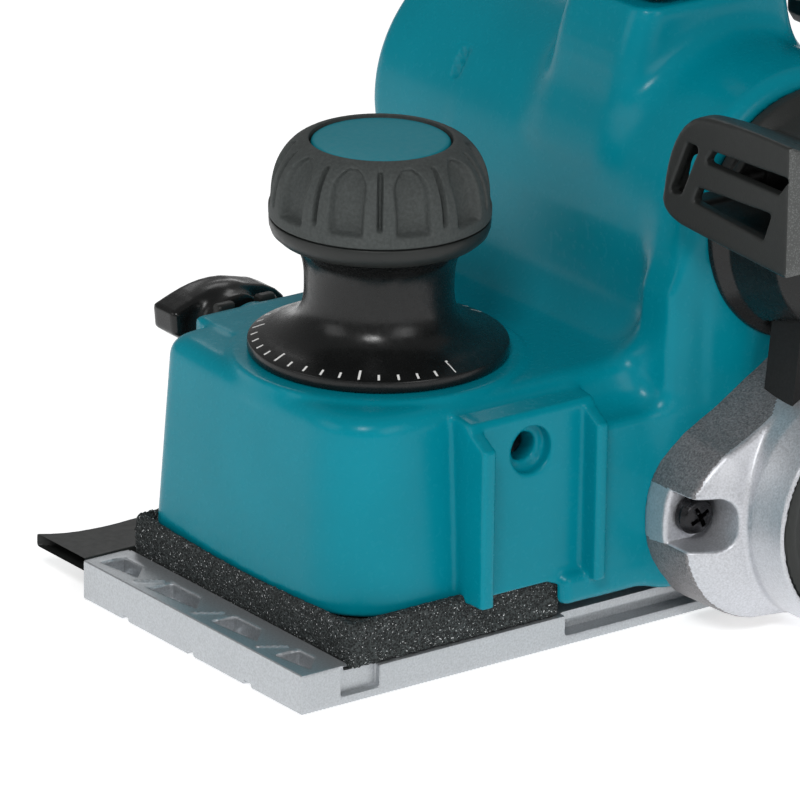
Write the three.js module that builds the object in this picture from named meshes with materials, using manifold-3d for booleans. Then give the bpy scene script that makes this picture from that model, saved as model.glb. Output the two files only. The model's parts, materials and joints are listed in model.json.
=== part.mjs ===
// Hand-held electric power planer, 82 mm cut, as an assembly of separate pieces. Millimetres, +X forward,
// +Y to the planer's left (the belt side), +Z up. The origin is the middle of the rear sole.
import * as THREE from "three";
import { mergeVertices } from "three/addons/utils/BufferGeometryUtils.js";
import Module from "manifold-3d";

// ---------------------------------------------------------------- driving dimensions
const GAP = 0.3; // clearance between neighbouring pieces
const FRONT = 210; // front face of the front shoe
const REAR = -75; // back end of the rear sole
const HALF = 41; // half the width of the sole and of the cut

const SHOE = { back: 96.5, backTop: 106, thick: 9, seat: 7, strip: 12.3, seatBack: 141, column: 9.5, columnTop: 40 };
const GROOVE = { half: 1.5, deep: 1.4 };
const CHANNEL = { front: 139.5, deep: 4, upper: 2.2, step: 4.9 };
const POCKET = { count: 4, pitch: 19.5, first: 11.8, back: 10.3, front: 2.6, half: 6.4, floor: 4.2 };
const SOLE = { front: 72.8, frontMid: 64, midZ: 4.3, frontTop: 56.5, thick: 9 };
const DRUM = { x: 80, z: 28.2, cut: 28, body: 26.2, shaft: 5, pulley: 14 };
const MOTOR = { x: 78, z: 89, shell: 32, bore: 29, right: -77, pulley: 9.5, shaft: 4 };
const KNOB = { x: FRONT - 49.3, base: 60.65, rim: 28.5, neck: 16.4, head: 24.1, top: 109, cap: 15.3, flutes: 10, firstFlute: 35.5 };
const DECK = { z: 60.3, rim: 15.2, front: FRONT - 14.2, half: 37, corner: 14, shoulder: 4 };
const SIDE = { y: 43.4, skirt: 11.4, upright: FRONT - 93.5, inner: 41.4 };
const PAD = { front: FRONT - 43.6, back: FRONT - 79, y: 41.2, rib: 46.5, low: 16.4, high: 55.6, thick: 3.4 };
const BELT = { y0: 50.5, y1: 61.5, thick: 2.4 };
const COVER = { lobeX: FRONT - 113.5, lobeZ: 26.5, lobe: 24.2, face: 58, bossFace: 74, boss: 27.8, wall: 2.4 };
const HOOD = { disc: 29, cap: 25, front: FRONT - 88.4, low: 96.5, high: 125, y0: 47.6, y1: 91, wall: 2.6 };
const HANDLE = { half: 16, post: 100, back: -73 };
const DEPTH_SCREW = { r: 5, low: 15, high: 52, bore: 10 };
const PAD_HOLE = { x: FRONT - 60.2, z: 47.6, sunk: 5.4, bore: 3.3, deep: 3.1 };
const BRUSH = { y: -58, r: 6, from: 10.8 };
const FOOT = { x: -60, z: 4.7, r: 3.6, half: 8.6 };
const REAR_DECK = { half: 39, room: 29.5, screwX: [44, -66], screwY: 34.2 };
const TRIGGER = { x0: 22, x1: 45, half: 6.5, low: 112, high: 131 };
const LOCK = { x: 64, z: 143, r: 5, y0: 12, y1: 19 };
const GLAND = { z: 60, r: 7 };
const GUIDE = { x: FRONT - 46, z: 52, y: -43.8, foot: 6, top: 60, out: -63.7, front: FRONT - 1.5, back: FRONT - 62 };
const COVER_SCREWS = [
  { x: FRONT - 96.3, z: 28.5, face: COVER.face },
  { x: 44, z: 22, face: COVER.face },
  { x: 48, z: 62, face: COVER.face },
];
const HANDLE_SCREWS = [
  [90, 137],
  [-30, 132],
  [-60, 76],
];

const wasm = await Module();
wasm.setup();

// ---------------------------------------------------------------- solids from geometries
function solid(geometry) {
  const bare = geometry.index ? geometry.toNonIndexed() : geometry.clone();
  bare.deleteAttribute("normal");
  bare.deleteAttribute("uv");
  const merged = mergeVertices(bare, 1e-4);
  return new wasm.Manifold(
    new wasm.Mesh({
      numProp: 3,
      vertProperties: merged.attributes.position.array,
      triVerts: new Uint32Array(merged.index.array),
    }),
  );
}

function geometryOf(body) {
  const mesh = body.getMesh();
  const geometry = new THREE.BufferGeometry();
  geometry.setAttribute("position", new THREE.BufferAttribute(mesh.vertProperties.slice(), 3));
  geometry.setIndex(new THREE.BufferAttribute(new Uint32Array(mesh.triVerts), 1));
  geometry.computeVertexNormals();
  return geometry;
}

const join = (...bodies) => bodies.reduce((all, body) => all.add(body));
const cut = (body, ...tools) => tools.reduce((left, tool) => left.subtract(tool), body);

// ---------------------------------------------------------------- plain shapes
function box(x0, x1, y0, y1, z0, z1) {
  const geometry = new THREE.BoxGeometry(x1 - x0, y1 - y0, z1 - z0);
  return solid(geometry.translate((x0 + x1) / 2, (y0 + y1) / 2, (z0 + z1) / 2));
}

// A rod along Z, Y or X, with its radius at the low and the high end.
function rodZ(x, y, low, z0, z1, sides = 24, high = low) {
  const geometry = new THREE.CylinderGeometry(high, low, z1 - z0, sides);
  return solid(geometry.rotateX(Math.PI / 2).translate(x, y, (z0 + z1) / 2));
}

function rodY(x, z, low, y0, y1, sides = 24, high = low) {
  const geometry = new THREE.CylinderGeometry(high, low, y1 - y0, sides);
  return solid(geometry.translate(x, (y0 + y1) / 2, z));
}

function rodX(y, z, radius, x0, x1, sides = 16) {
  const geometry = new THREE.CylinderGeometry(radius, radius, x1 - x0, sides);
  return solid(geometry.rotateZ(Math.PI / 2).translate((x0 + x1) / 2, y, z));
}

// A side-view outline in X and Z, drawn out along Y; bevel rounds both long edges.
function sideways(outline, y0, y1, bevel = 0, curveSegments = 10) {
  const geometry = new THREE.ExtrudeGeometry(outline, {
    depth: y1 - y0 - 2 * bevel,
    bevelEnabled: bevel > 0,
    bevelThickness: bevel,
    bevelSize: bevel,
    bevelOffset: -bevel,
    bevelSegments: 1,
    curveSegments,
  });
  return solid(geometry.rotateX(Math.PI / 2).translate(0, y1 - bevel, 0));
}

// A plan-view outline in X and Y, drawn up along Z.
function upward(outline, z0, z1, bevel = 0, curveSegments = 8) {
  const geometry = new THREE.ExtrudeGeometry(outline, {
    depth: z1 - z0 - 2 * bevel,
    bevelEnabled: bevel > 0,
    bevelThickness: bevel,
    bevelSize: bevel,
    bevelOffset: -bevel,
    bevelSegments: 1,
    curveSegments,
  });
  return solid(geometry.translate(0, 0, z0 + bevel));
}

// A front-view outline in Y and Z, drawn out along X.
function forward(outline, x0, x1, curveSegments = 8) {
  const geometry = new THREE.ExtrudeGeometry(outline, { depth: x1 - x0, bevelEnabled: false, curveSegments });
  return solid(geometry.rotateX(Math.PI / 2).rotateZ(Math.PI / 2).translate(x0, 0, 0));
}

function polygon(points) {
  return new THREE.Shape(points.map(([a, b]) => new THREE.Vector2(a, b)));
}

// A rectangle with four corner radii, counter-clockwise from the low-low corner.
function rounded(a0, a1, b0, b1, radii) {
  const [ll, hl, hh, lh] = Array.isArray(radii) ? radii : [radii, radii, radii, radii];
  const shape = new THREE.Shape();
  shape.moveTo(a0 + ll, b0);
  shape.lineTo(a1 - hl, b0);
  shape.quadraticCurveTo(a1, b0, a1, b0 + hl);
  shape.lineTo(a1, b1 - hh);
  shape.quadraticCurveTo(a1, b1, a1 - hh, b1);
  shape.lineTo(a0 + lh, b1);
  shape.quadraticCurveTo(a0, b1, a0, b1 - lh);
  shape.lineTo(a0, b0 + ll);
  shape.quadraticCurveTo(a0, b0, a0 + ll, b0);
  return shape;
}

// A turned piece about a vertical axis: radii against heights, closed on the axis.
function turned(x, y, profile, sides = 30) {
  const points = profile.map(([r, z]) => new THREE.Vector2(r, z));
  const geometry = new THREE.LatheGeometry(points, sides);
  return solid(geometry.rotateX(Math.PI / 2).translate(x, y, 0));
}

// The same about a crosswise axis through (x, z): radii against Y.
function turnedY(x, z, profile, sides = 28) {
  const points = profile.map(([r, y]) => new THREE.Vector2(r, y));
  return solid(new THREE.LatheGeometry(points, sides).translate(x, 0, z));
}

function ringY(x, z, outer, inner, y0, y1, sides = 20) {
  return cut(rodY(x, z, outer, y0, y1, sides), rodY(x, z, inner, y0 - 1, y1 + 1, sides));
}

// The same solid repeated round an upright or crosswise axis.
function spunZ(body, x, y, count, first = 0) {
  return Array.from({ length: count }, (_, i) =>
    body.translate([-x, -y, 0]).rotate([0, 0, first + (360 * i) / count]).translate([x, y, 0]),
  );
}

function spunY(body, x, z, count, first = 0) {
  return Array.from({ length: count }, (_, i) =>
    body.translate([-x, 0, -z]).rotate([0, first + (360 * i) / count, 0]).translate([x, 0, z]),
  );
}

// ---------------------------------------------------------------- colours
const paint = (color, roughness, metalness) => new THREE.MeshStandardMaterial({ color, roughness, metalness });
const TEAL = paint(0x007f92, 0.38, 0);
const BLACK = paint(0x1c1c1c, 0.5, 0);
const SOFT_BLACK = paint(0x414544, 0.75, 0);
const CAST = paint(0x9a9ea1, 0.45, 0.9);
const SILVER = paint(0xaeb2b6, 0.4, 0.85);
const STEEL = paint(0x8d9093, 0.3, 1);
const BLADE = paint(0xc9ccd0, 0.2, 1);
const FOAM = paint(0x323637, 0.95, 0);
const RUBBER = paint(0x1a1a1a, 0.85, 0);
const COPPER = paint(0xb26a3c, 0.35, 1);
const IRON = paint(0x5d6063, 0.5, 0.9);
const CARBON = paint(0x2a2a2c, 0.7, 0.1);

const planer = new THREE.Group();

function piece(name, body, material) {
  const mesh = new THREE.Mesh(geometryOf(body), material);
  mesh.name = name;
  planer.add(mesh);
}

// ---------------------------------------------------------------- front shoe
// A cut along one side of the shoe's rear part, as deep as stated.
function besideBox(side, deep, low, high) {
  const inner = side * (HALF - deep);
  const outer = side * (HALF + 1);
  return box(SHOE.back - 1, CHANNEL.front, Math.min(inner, outer), Math.max(inner, outer), low, high);
}

function frontShoe() {
  const outline = polygon([
    [SHOE.back, 0],
    [FRONT, 0],
    [FRONT, SHOE.thick],
    [FRONT - SHOE.strip, SHOE.thick],
    [FRONT - SHOE.strip, SHOE.seat],
    [SHOE.backTop - 1, SHOE.seat],
  ]);
  const column = rodZ(KNOB.x, 0, SHOE.column, SHOE.seat - 1, SHOE.columnTop, 32);
  let shoe = join(sideways(outline, -HALF, HALF), column);
  shoe = cut(shoe, rodZ(KNOB.x, 0, DEPTH_SCREW.r + GAP, DEPTH_SCREW.bore, SHOE.columnTop + 2, 32));
  // four cast pockets in the front strip, between slanted ribs
  for (let i = 0; i < POCKET.count; i++) {
    const y = -HALF + POCKET.first + POCKET.pitch * i;
    const pocket = polygon([
      [FRONT - POCKET.back, y - POCKET.half],
      [FRONT - POCKET.front - 1.8, y - POCKET.half],
      [FRONT - POCKET.front, y + POCKET.half - 2.2],
      [FRONT - POCKET.back, y + POCKET.half],
    ]);
    shoe = cut(shoe, upward(pocket, POCKET.floor, SHOE.thick + 1));
  }
  // V groove for chamfering, shallow side recess, rabbet channel along both rear sides
  const groove = polygon([
    [-GROOVE.half, -0.1],
    [GROOVE.half, -0.1],
    [0, GROOVE.deep],
  ]);
  shoe = cut(shoe, forward(groove, SHOE.back + 14, FRONT + 1));
  for (const side of [-1, 1]) {
    const y = side * HALF;
    shoe = cut(
      shoe,
      box(FRONT - 20.5, FRONT - 10.2, Math.min(y, y - side), Math.max(y, y - side), 2.2, 8.4),
      besideBox(side, CHANNEL.deep, 2.2, CHANNEL.step),
      besideBox(side, CHANNEL.upper, CHANNEL.step - 0.1, SHOE.thick),
    );
  }
  piece("front_base", shoe, CAST);
}

// Open-cell foam that seals the slot between the sliding shoe and the housing: front and two sides.
function foamSeal() {
  const wide = HALF - GAP;
  const outer = box(SHOE.seatBack, FRONT - SHOE.strip - GAP, -wide, wide, SHOE.seat + GAP, DECK.rim - GAP);
  const inner = box(SHOE.seatBack - 5, FRONT - 26, -wide + 9.5, wide - 9.5, SHOE.seat, DECK.rim);
  piece("foam_seal", cut(outer, inner), FOAM);
}

class SpringPath extends THREE.Curve {
  constructor(radius, low, high, turns) {
    super();
    Object.assign(this, { radius, low, high, turns });
  }
  getPoint(t, target = new THREE.Vector3()) {
    const angle = 2 * Math.PI * this.turns * t;
    const z = this.low + (this.high - this.low) * t;
    return target.set(KNOB.x + this.radius * Math.cos(angle), this.radius * Math.sin(angle), z);
  }
}

function shoeSpring() {
  const wire = new THREE.Shape().absarc(0, 0, 0.9, 0, 2 * Math.PI);
  const geometry = new THREE.ExtrudeGeometry(wire, {
    steps: 60,
    extrudePath: new SpringPath(12.2, SHOE.seat + 1.3, DECK.z - 6, 6),
    bevelEnabled: false,
    curveSegments: 2,
  });
  piece("base_spring", solid(geometry), STEEL);
}

// ---------------------------------------------------------------- depth knob
function depthKnob() {
  const { base, rim, neck, head, top, cap } = KNOB;
  const dial = turned(KNOB.x, 0, [
    [3.3, base - 8],
    [7.6, base - 8],
    [7.6, base],
    [rim, base],
    [rim, base + 2.6],
    [24.6, base + 4.4],
    [20.4, base + 8.4],
    [17.6, base + 13],
    [neck, base + 18],
    [neck + 0.6, base + 20.4],
    [19.5, base + 22.6],
    [22.6, base + 24.4],
    [12, base + 24.4],
    [12, base + 40],
    [3.3, base + 40],
    [3.3, base - 8],
  ]);
  piece("knob_dial", dial, BLACK);
  const grip = turned(KNOB.x, 0, [
    [12 + GAP, base + 24.4 + GAP],
    [head - 0.4, base + 24.4 + GAP],
    [head, base + 27],
    [head, base + 31],
    [head - 1.2, base + 38],
    [head - 4.4, top - 5],
    [head - 8, top - 1.2],
    [cap, top - 0.8],
    [cap, top - 4],
    [12 + GAP, top - 4],
    [12 + GAP, base + 24.4 + GAP],
  ]);
  const flute = rodZ(KNOB.x + head + 3, 0, 4.4, base + 28.5, top - 6, 8);
  piece("knob_grip", cut(grip, ...spunZ(flute, KNOB.x, 0, KNOB.flutes, KNOB.firstFlute)), SOFT_BLACK);
  piece("knob_cap", rodZ(KNOB.x, 0, cap - GAP, top - 4 + GAP, top, 36), TEAL);
  const thread = join(
    rodZ(KNOB.x, 0, DEPTH_SCREW.r, DEPTH_SCREW.low, DEPTH_SCREW.high, 24),
    rodZ(KNOB.x, 0, 3, DEPTH_SCREW.high - 1, base + 39, 20),
  );
  piece("depth_screw", thread, STEEL);
}

// ---------------------------------------------------------------- housing
function frontPlan() {
  const { front, half, corner } = DECK;
  const back = 112;
  const shape = new THREE.Shape();
  shape.moveTo(back, -half);
  shape.lineTo(front - corner - 3, -half);
  shape.quadraticCurveTo(front - 3.2, -half, front - 2.2, -half + corner);
  shape.quadraticCurveTo(front + 2.2, 0, front - 2.2, half - corner);
  shape.quadraticCurveTo(front - 3.2, half, front - corner - 3, half);
  shape.lineTo(back, half);
  return shape;
}

function frontBlock() {
  const geometry = new THREE.ExtrudeGeometry(frontPlan(), {
    depth: DECK.z - DECK.rim - DECK.shoulder,
    bevelEnabled: true,
    bevelThickness: DECK.shoulder,
    bevelSize: DECK.shoulder,
    bevelOffset: -DECK.shoulder,
    bevelSegments: 2,
    curveSegments: 6,
  });
  const block = solid(geometry.translate(0, 0, DECK.rim));
  const foot = upward(frontPlan(), DECK.rim, DECK.rim + 8, 0, 6);
  return join(cut(block, box(0, FRONT, -60, 60, 0, DECK.rim)), foot);
}

// Accessory pad on the left side: a flat face between two upright ribs, with a counterbored hole.
function accessoryPad() {
  const { front, back, y, rib, low, high, thick } = PAD;
  const ribs = [front - thick, back].map((x) => {
    const outline = polygon([
      [30, low],
      [rib, low],
      [rib, high - 4],
      [30, high],
    ]);
    return forward(outline, x, x + thick);
  });
  const face = box(back, front, 30, y, low + 0.6, high - 1);
  return join(face, ...ribs);
}

function handlePost() {
  const outline = rounded(62, HANDLE.post, -HANDLE.half + 2, HANDLE.half - 2, 7);
  return upward(outline, MOTOR.z, 128);
}

// Height of the sloping rear deck at X.
const deckTop = (x) => 46 + ((x + 69) * 6) / 99;

function rearDeck() {
  const outline = polygon([
    [60, SOLE.thick + GAP],
    [REAR + 2, SOLE.thick + GAP],
    [REAR + 2, 43],
    [-69, deckTop(-69)],
    [30, deckTop(30)],
    [60, 56],
  ]);
  return sideways(outline, -REAR_DECK.half, REAR_DECK.half, 2.5, 4);
}

function chipDuct() {
  return sideways(rounded(95, 113, 41, 56.5, 5), -60, SIDE.inner - 4, 0, 3);
}

function mainHousing() {
  const upright = sideways(
    polygon([
      [46, SIDE.skirt],
      [SIDE.upright, SIDE.skirt],
      [SIDE.upright, DECK.z - 6],
      [111.5, 66],
      [110, 84],
      [108, 98],
      [60, 98],
      [46, 66],
    ]),
    -SIDE.y,
    SIDE.y,
    1.2,
    4,
  );
  const skirt = box(SIDE.upright - 1, SHOE.seatBack - 0.7, -SIDE.y, SIDE.y, SIDE.skirt, DECK.z - 7);
  const barrel = turnedY(MOTOR.x, MOTOR.z, [
    [0, MOTOR.right],
    [MOTOR.shell - 3, MOTOR.right],
    [MOTOR.shell, MOTOR.right + 8],
    [MOTOR.shell, SIDE.y],
    [0, SIDE.y],
  ]);
  const guideBoss = rodY(GUIDE.x, GUIDE.z, 10, GUIDE.y + GAP, -30, 24);
  let shell = join(frontBlock(), accessoryPad(), upright, skirt, barrel, handlePost(), rearDeck(), guideBoss);
  const drumRoom = join(
    rodY(DRUM.x, DRUM.z, 30.4, -SIDE.inner, SIDE.inner, 28),
    box(DRUM.x - 28, 122, -SIDE.inner, SIDE.inner, 0, 22),
  );
  const frontRoom = upward(rounded(122, FRONT - 24, -33, 33, 8), 0, DECK.z - 3.6, 0, 4);
  const shoeRoom = box(100, SHOE.seatBack + 4, -SIDE.inner, SIDE.inner, 0, DECK.rim);
  const motorRoom = rodY(MOTOR.x, MOTOR.z, MOTOR.bore, MOTOR.right + 3, SIDE.y + 1, 28);
  const motorEnd = rodY(MOTOR.x, MOTOR.z, 5, MOTOR.right - 1, MOTOR.right + 4, 12);
  const knobBore = rodZ(KNOB.x, 0, 7.6 + GAP, DECK.z - 8, DECK.z + 2, 32);
  const hole = join(
    rodY(PAD_HOLE.x, PAD_HOLE.z, PAD_HOLE.sunk, PAD.y - PAD_HOLE.deep, PAD.y + 5, 24),
    rodY(PAD_HOLE.x, PAD_HOLE.z, PAD_HOLE.bore, 20, PAD.y + 5, 20),
  );
  const leftBearing = rodY(DRUM.x, DRUM.z, 11 + GAP, 30, SIDE.y + 1, 32);
  const rightShaft = rodY(DRUM.x, DRUM.z, 11 + GAP, -SIDE.y - 1, -30, 32);
  const postRoom = upward(rounded(67, 94, -9, 9, 4), MOTOR.z + 20, 130);
  const rearRoom = sideways(
    polygon([
      [42, 0],
      [42, 46],
      [-38, 41],
      [REAR + 12, 32],
      [REAR + 12, 0],
    ]),
    -REAR_DECK.room,
    REAR_DECK.room,
  );
  const brushHoles = join(
    rodZ(MOTOR.x, BRUSH.y, BRUSH.r + GAP, MOTOR.z + 20, MOTOR.z + 40, 20),
    rodZ(MOTOR.x, BRUSH.y, BRUSH.r + GAP, MOTOR.z - 40, MOTOR.z - 20, 20),
  );
  const stud = rodY(GUIDE.x, GUIDE.z, 3, -50, -20, 16);
  shell = cut(shell, drumRoom, frontRoom, shoeRoom, motorRoom, motorEnd, knobBore, hole, stud);
  shell = cut(shell, leftBearing, rightShaft, postRoom, rearRoom, brushHoles, chipDuct());
  shell = join(shell, ringY(MOTOR.x, MOTOR.z, 12.5, 9.5 + GAP, MOTOR.right + 2, -67));
  shell = join(shell, ringY(DRUM.x, DRUM.z, 14.5, 11 + GAP, SIDE.inner + 0.2, 48));
  shell = cut(shell, ...rearScrewSpots().map(([x, y]) => rodZ(x, y, 2.5, 0, 22, 12)));
  piece("main_housing", shell, TEAL);
}

// ---------------------------------------------------------------- rear sole
function rearScrewSpots() {
  const { screwX, screwY } = REAR_DECK;
  return screwX.flatMap((x) => [-screwY, screwY].map((y) => [x, y]));
}

function rearSole() {
  const outline = polygon([
    [REAR, 0],
    [SOLE.front, 0],
    [SOLE.frontMid, SOLE.midZ],
    [SOLE.frontTop, SOLE.thick],
    [REAR, SOLE.thick],
  ]);
  let sole = sideways(outline, -HALF, HALF);
  const pocket = box(-20, 30, -30, 30, 4.5, SOLE.thick + 1);
  const footSlot = box(REAR - 1, FOOT.x + FOOT.r + 0.4, -9, 9, -1, SOLE.thick + 1);
  sole = cut(sole, pocket, footSlot, rodY(FOOT.x, FOOT.z, 1.5, -14, 14, 12));
  rearScrewSpots().forEach(([x, y], i) => {
    sole = cut(sole, rodZ(x, y, 2.5 + GAP, -1, 20, 16), rodZ(x, y, 5 + GAP, -1, 3.4, 20));
    const screw = join(rodZ(x, y, 5, 0.4, 3.1, 20), rodZ(x, y, 2.2, 3, 16, 14));
    piece(`base_screw_${i + 1}`, screw, STEEL);
  });
  piece("rear_base", sole, CAST);
}

// ---------------------------------------------------------------- cutter
const halfTurn = (part) => part.translate([-DRUM.x, 0, -DRUM.z]).rotate([0, 180, 0]).translate([DRUM.x, 0, DRUM.z]);

function cutter() {
  const { x, z, body, shaft } = DRUM;
  const tip = DRUM.cut * Math.cos(0.2);
  const seat = box(x + 12, x + 30, -60, 60, z - 4, z + 8);
  const drum = cut(rodY(x, z, body, -39, 38.5, 32), seat, halfTurn(seat));
  piece("cutter_drum", join(drum, rodY(x, z, shaft, -46.8, BELT.y1 + 1, 24)), CAST);
  const edge = [
    [x + 13, z + 4.6],
    [x + tip, z + 4.6],
    [x + tip - 1.4, z + 6.6],
    [x + 13, z + 6.6],
  ];
  const wedge = [
    [x + 12 + GAP, z - 4 + GAP],
    [x + 25, z - 4 + GAP],
    [x + 24.5, z + 4.3],
    [x + 12 + GAP, z + 4.3],
  ];
  const blade = sideways(polygon(edge), -HALF, HALF - 0.2);
  const clamp = sideways(polygon(wedge), -38.6, 38.2);
  piece("blade_1", blade, BLADE);
  piece("blade_2", halfTurn(blade), BLADE);
  piece("blade_clamp_1", clamp, STEEL);
  piece("blade_clamp_2", halfTurn(clamp), STEEL);
  piece("drum_bearing_left", ringY(x, z, 11, shaft + GAP, SIDE.inner + 0.4, 47.6), STEEL);
  piece("drum_bearing_right", ringY(x, z, 11, shaft + GAP, -47, -SIDE.inner - 0.3), STEEL);
  const cup = cut(rodY(x, z, 16, -50, -SIDE.y - GAP, 32), rodY(x, z, 11 + GAP, -47.3, -40, 32));
  piece("bearing_plate", cup, CAST);
  piece("drum_pulley", ringY(x, z, DRUM.pulley, shaft + GAP, BELT.y0, BELT.y1), STEEL);
}

// ---------------------------------------------------------------- motor
function motor() {
  const { x, z, shaft } = MOTOR;
  const bore = shaft + GAP;
  piece("armature_shaft", rodY(x, z, shaft, -73, BELT.y1 + 1, 24), STEEL);
  const core = join(ringY(x, z, 14.6, bore, -42, -2), ringY(x, z, 12, bore, -48, 4));
  piece("armature_core", core, COPPER);
  piece("commutator", ringY(x, z, BRUSH.from - GAP, bore, -64, -50), COPPER);
  piece("stator", ringY(x, z, MOTOR.bore - GAP, 16.4, -46, 2), IRON);
  const vane = box(x - 0.8, x + 0.8, 9, 18, z + 7, z + 25);
  const fan = join(ringY(x, z, 8, bore, 8, 18), ringY(x, z, 25, bore, 8, 10), ...spunY(vane, x, z, 9));
  piece("cooling_fan", fan, BLACK);
  piece("motor_bearing_right", ringY(x, z, 9.5, bore, -73.5, -67), STEEL);
  piece("motor_bearing_left", ringY(x, z, 11, bore, 24.3, 31), STEEL);
  const window = box(x - 5, x + 5, 15, 40, z + 16, z + 25);
  const bracket = cut(
    join(rodY(x, z, MOTOR.bore - GAP, 20, 26, 36), rodY(x, z, 14.5, 20, 33, 28)),
    rodY(x, z, 11 + GAP, 24, 34, 28),
    rodY(x, z, 8, 19, 34, 20),
    ...spunY(window, x, z, 6, 30),
  );
  piece("bearing_bracket", bracket, CAST);
  piece("motor_pulley", ringY(x, z, MOTOR.pulley, bore, BELT.y0, BELT.y1), STEEL);
  [1, -1].forEach((side, i) => {
    const carbon = box(x - 2.5, x + 2.5, BRUSH.y - 4, BRUSH.y + 4, BRUSH.from, 25);
    const cap = cut(rodZ(x, BRUSH.y, BRUSH.r, 26, 32.4, 20), box(x - 7, x + 7, BRUSH.y - 0.7, BRUSH.y + 0.7, 31, 33));
    const place = (part) => (side > 0 ? part : part.translate([-x, 0, 0]).rotate([0, 180, 0]).translate([x, 0, 0]));
    piece(`brush_${i + 1}`, place(carbon).translate([0, 0, z]), CARBON);
    piece(`brush_cap_${i + 1}`, place(cap).translate([0, 0, z]), BLACK);
  });
  const cap = turnedY(x, z, [
    [0, MOTOR.right - 5],
    [15, MOTOR.right - 5],
    [18.5, MOTOR.right - 3],
    [19, MOTOR.right - GAP],
    [0, MOTOR.right - GAP],
  ]);
  const vent = box(x - 1.2, x + 1.2, MOTOR.right - 6, MOTOR.right, z + 6, z + 14);
  piece("motor_end_cap", cut(cap, ...spunY(vent, x, z, 10)), BLACK);
}

// The outline of a belt run round both pulleys, a distance outside their rims.
function beltOutline(offset) {
  const dx = MOTOR.x - DRUM.x;
  const dz = MOTOR.z - DRUM.z;
  const lean = Math.atan2(dz, dx);
  const wrap = Math.acos((DRUM.pulley - MOTOR.pulley) / Math.hypot(dx, dz));
  const shape = new THREE.Shape();
  shape.absarc(DRUM.x, DRUM.z, DRUM.pulley + offset, lean + wrap, lean - wrap + 2 * Math.PI, false);
  shape.absarc(MOTOR.x, MOTOR.z, MOTOR.pulley + offset, lean - wrap, lean + wrap, false);
  return shape;
}

function driveBelt() {
  const outside = sideways(beltOutline(BELT.thick + GAP), BELT.y0 + 0.5, BELT.y1 - 0.5);
  const inside = sideways(beltOutline(GAP), BELT.y0 - 1, BELT.y1 + 1);
  piece("drive_belt", cut(outside, inside), RUBBER);
}

// ---------------------------------------------------------------- belt side covers
function beltCover() {
  const { lobeX, lobeZ, lobe, face, bossFace, boss, wall } = COVER;
  const y0 = SIDE.y + GAP;
  const back = sideways(rounded(34, 66, 6, 72, [18, 4, 4, 16]), y0, face, 2, 6);
  const middle = sideways(
    polygon([
      [52, 10],
      [80, 2],
      [104, 6],
      [108.6, 47],
      [66, 71],
      [46, 70],
    ]),
    y0,
    65,
    3,
  );
  const front = rodY(lobeX, lobeZ, lobe, y0, face, 36, lobe - 1.2);
  let cover = join(front, back, middle, rodY(DRUM.x, DRUM.z, boss, 50, bossFace, 36, boss - 0.4));
  const pulleyRoom = rodY(DRUM.x, DRUM.z, 20.5, 40, bossFace - wall - 2.2, 24);
  const beltRoom = box(60, 98, 40, 65 - wall, DRUM.z, 80);
  const motorRoom = join(
    rodY(MOTOR.x, MOTOR.z, HOOD.disc + 0.6, 40, 49, 28),
    rodY(MOTOR.x, MOTOR.z, HOOD.cap + 1.3, 40, 80, 28),
  );
  const insetSeat = rodY(DRUM.x, DRUM.z, 26, bossFace - 2.2, bossFace + 1, 32);
  cover = cut(cover, pulleyRoom, beltRoom, motorRoom, insetSeat);
  COVER_SCREWS.forEach((spot, i) => {
    const { x, z } = spot;
    cover = cut(cover, rodY(x, z, 6.8, spot.face - 7.4, 66, 24), rodY(x, z, 2.8, 40, 60, 16));
    const head = rodY(x, z, 4.4, spot.face - 7, spot.face - 3.6, 20);
    const cross = [box(x - 2.6, x + 2.6, 40, 60, z - 0.5, z + 0.5), box(x - 0.5, x + 0.5, 40, 60, z - 2.6, z + 2.6)];
    const slot = join(...cross).intersect(rodY(x, z, 4, spot.face - 5.2, spot.face, 12));
    const screw = join(cut(head, slot), rodY(x, z, 2.4, SIDE.y + GAP + 0.1, spot.face - 6.9, 16));
    piece(`cover_screw_${i + 1}`, screw, BLACK);
  });
  piece("belt_cover", cover, SILVER);
  piece("cover_inset", rodY(DRUM.x, DRUM.z, 25.6, bossFace - 1.8, bossFace - 0.4, 32), BLACK);
}

function ventHood() {
  const { x, z } = MOTOR;
  const { disc, cap, front, low, high, y0, y1, wall } = HOOD;
  const drumShape = turnedY(x, z, [
    [0, SIDE.y + GAP],
    [disc, SIDE.y + GAP],
    [disc, 47.4],
    [cap + 0.6, 48.7],
    [cap, 62],
    [cap - 4, 66],
    [0, 66],
  ], 32);
  const nose = forward(rounded(y0, y1, low, high, [5, 9, 9, 14]), x + 14, front, 6);
  const noseRoom = forward(rounded(y0 + wall, y1 - wall, low + wall, high - wall, [3, 6, 6, 11]), x, front - wall, 5);
  const sideMouth = box(x, front - 8, y0 - 8, y0 + 5, low + wall, high - wall);
  const capRoom = rodY(x, z, cap - 2.4, 49.6, 63.6, 24);
  const beltMouth = box(x - 17, x + 18, 49.6, 63.6, z - 32, z);
  const slots = [
    box(front - 9, front + 1, 54.6, 57.8, 103, 117),
    box(front - 9, front + 1, 63.5, 86, 112.4, 117),
    box(front - 9, front + 1, 61, 83, 103, 107.6),
  ];
  const clear = sideMouth.subtract(rodY(x, z, disc + 1, 40, 70, 32));
  const hood = cut(join(drumShape, nose), noseRoom, capRoom, beltMouth, clear, ...slots, rodY(x, z, 5.5, 40, 52, 20));
  piece("vent_hood", hood, BLACK);
}

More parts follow.
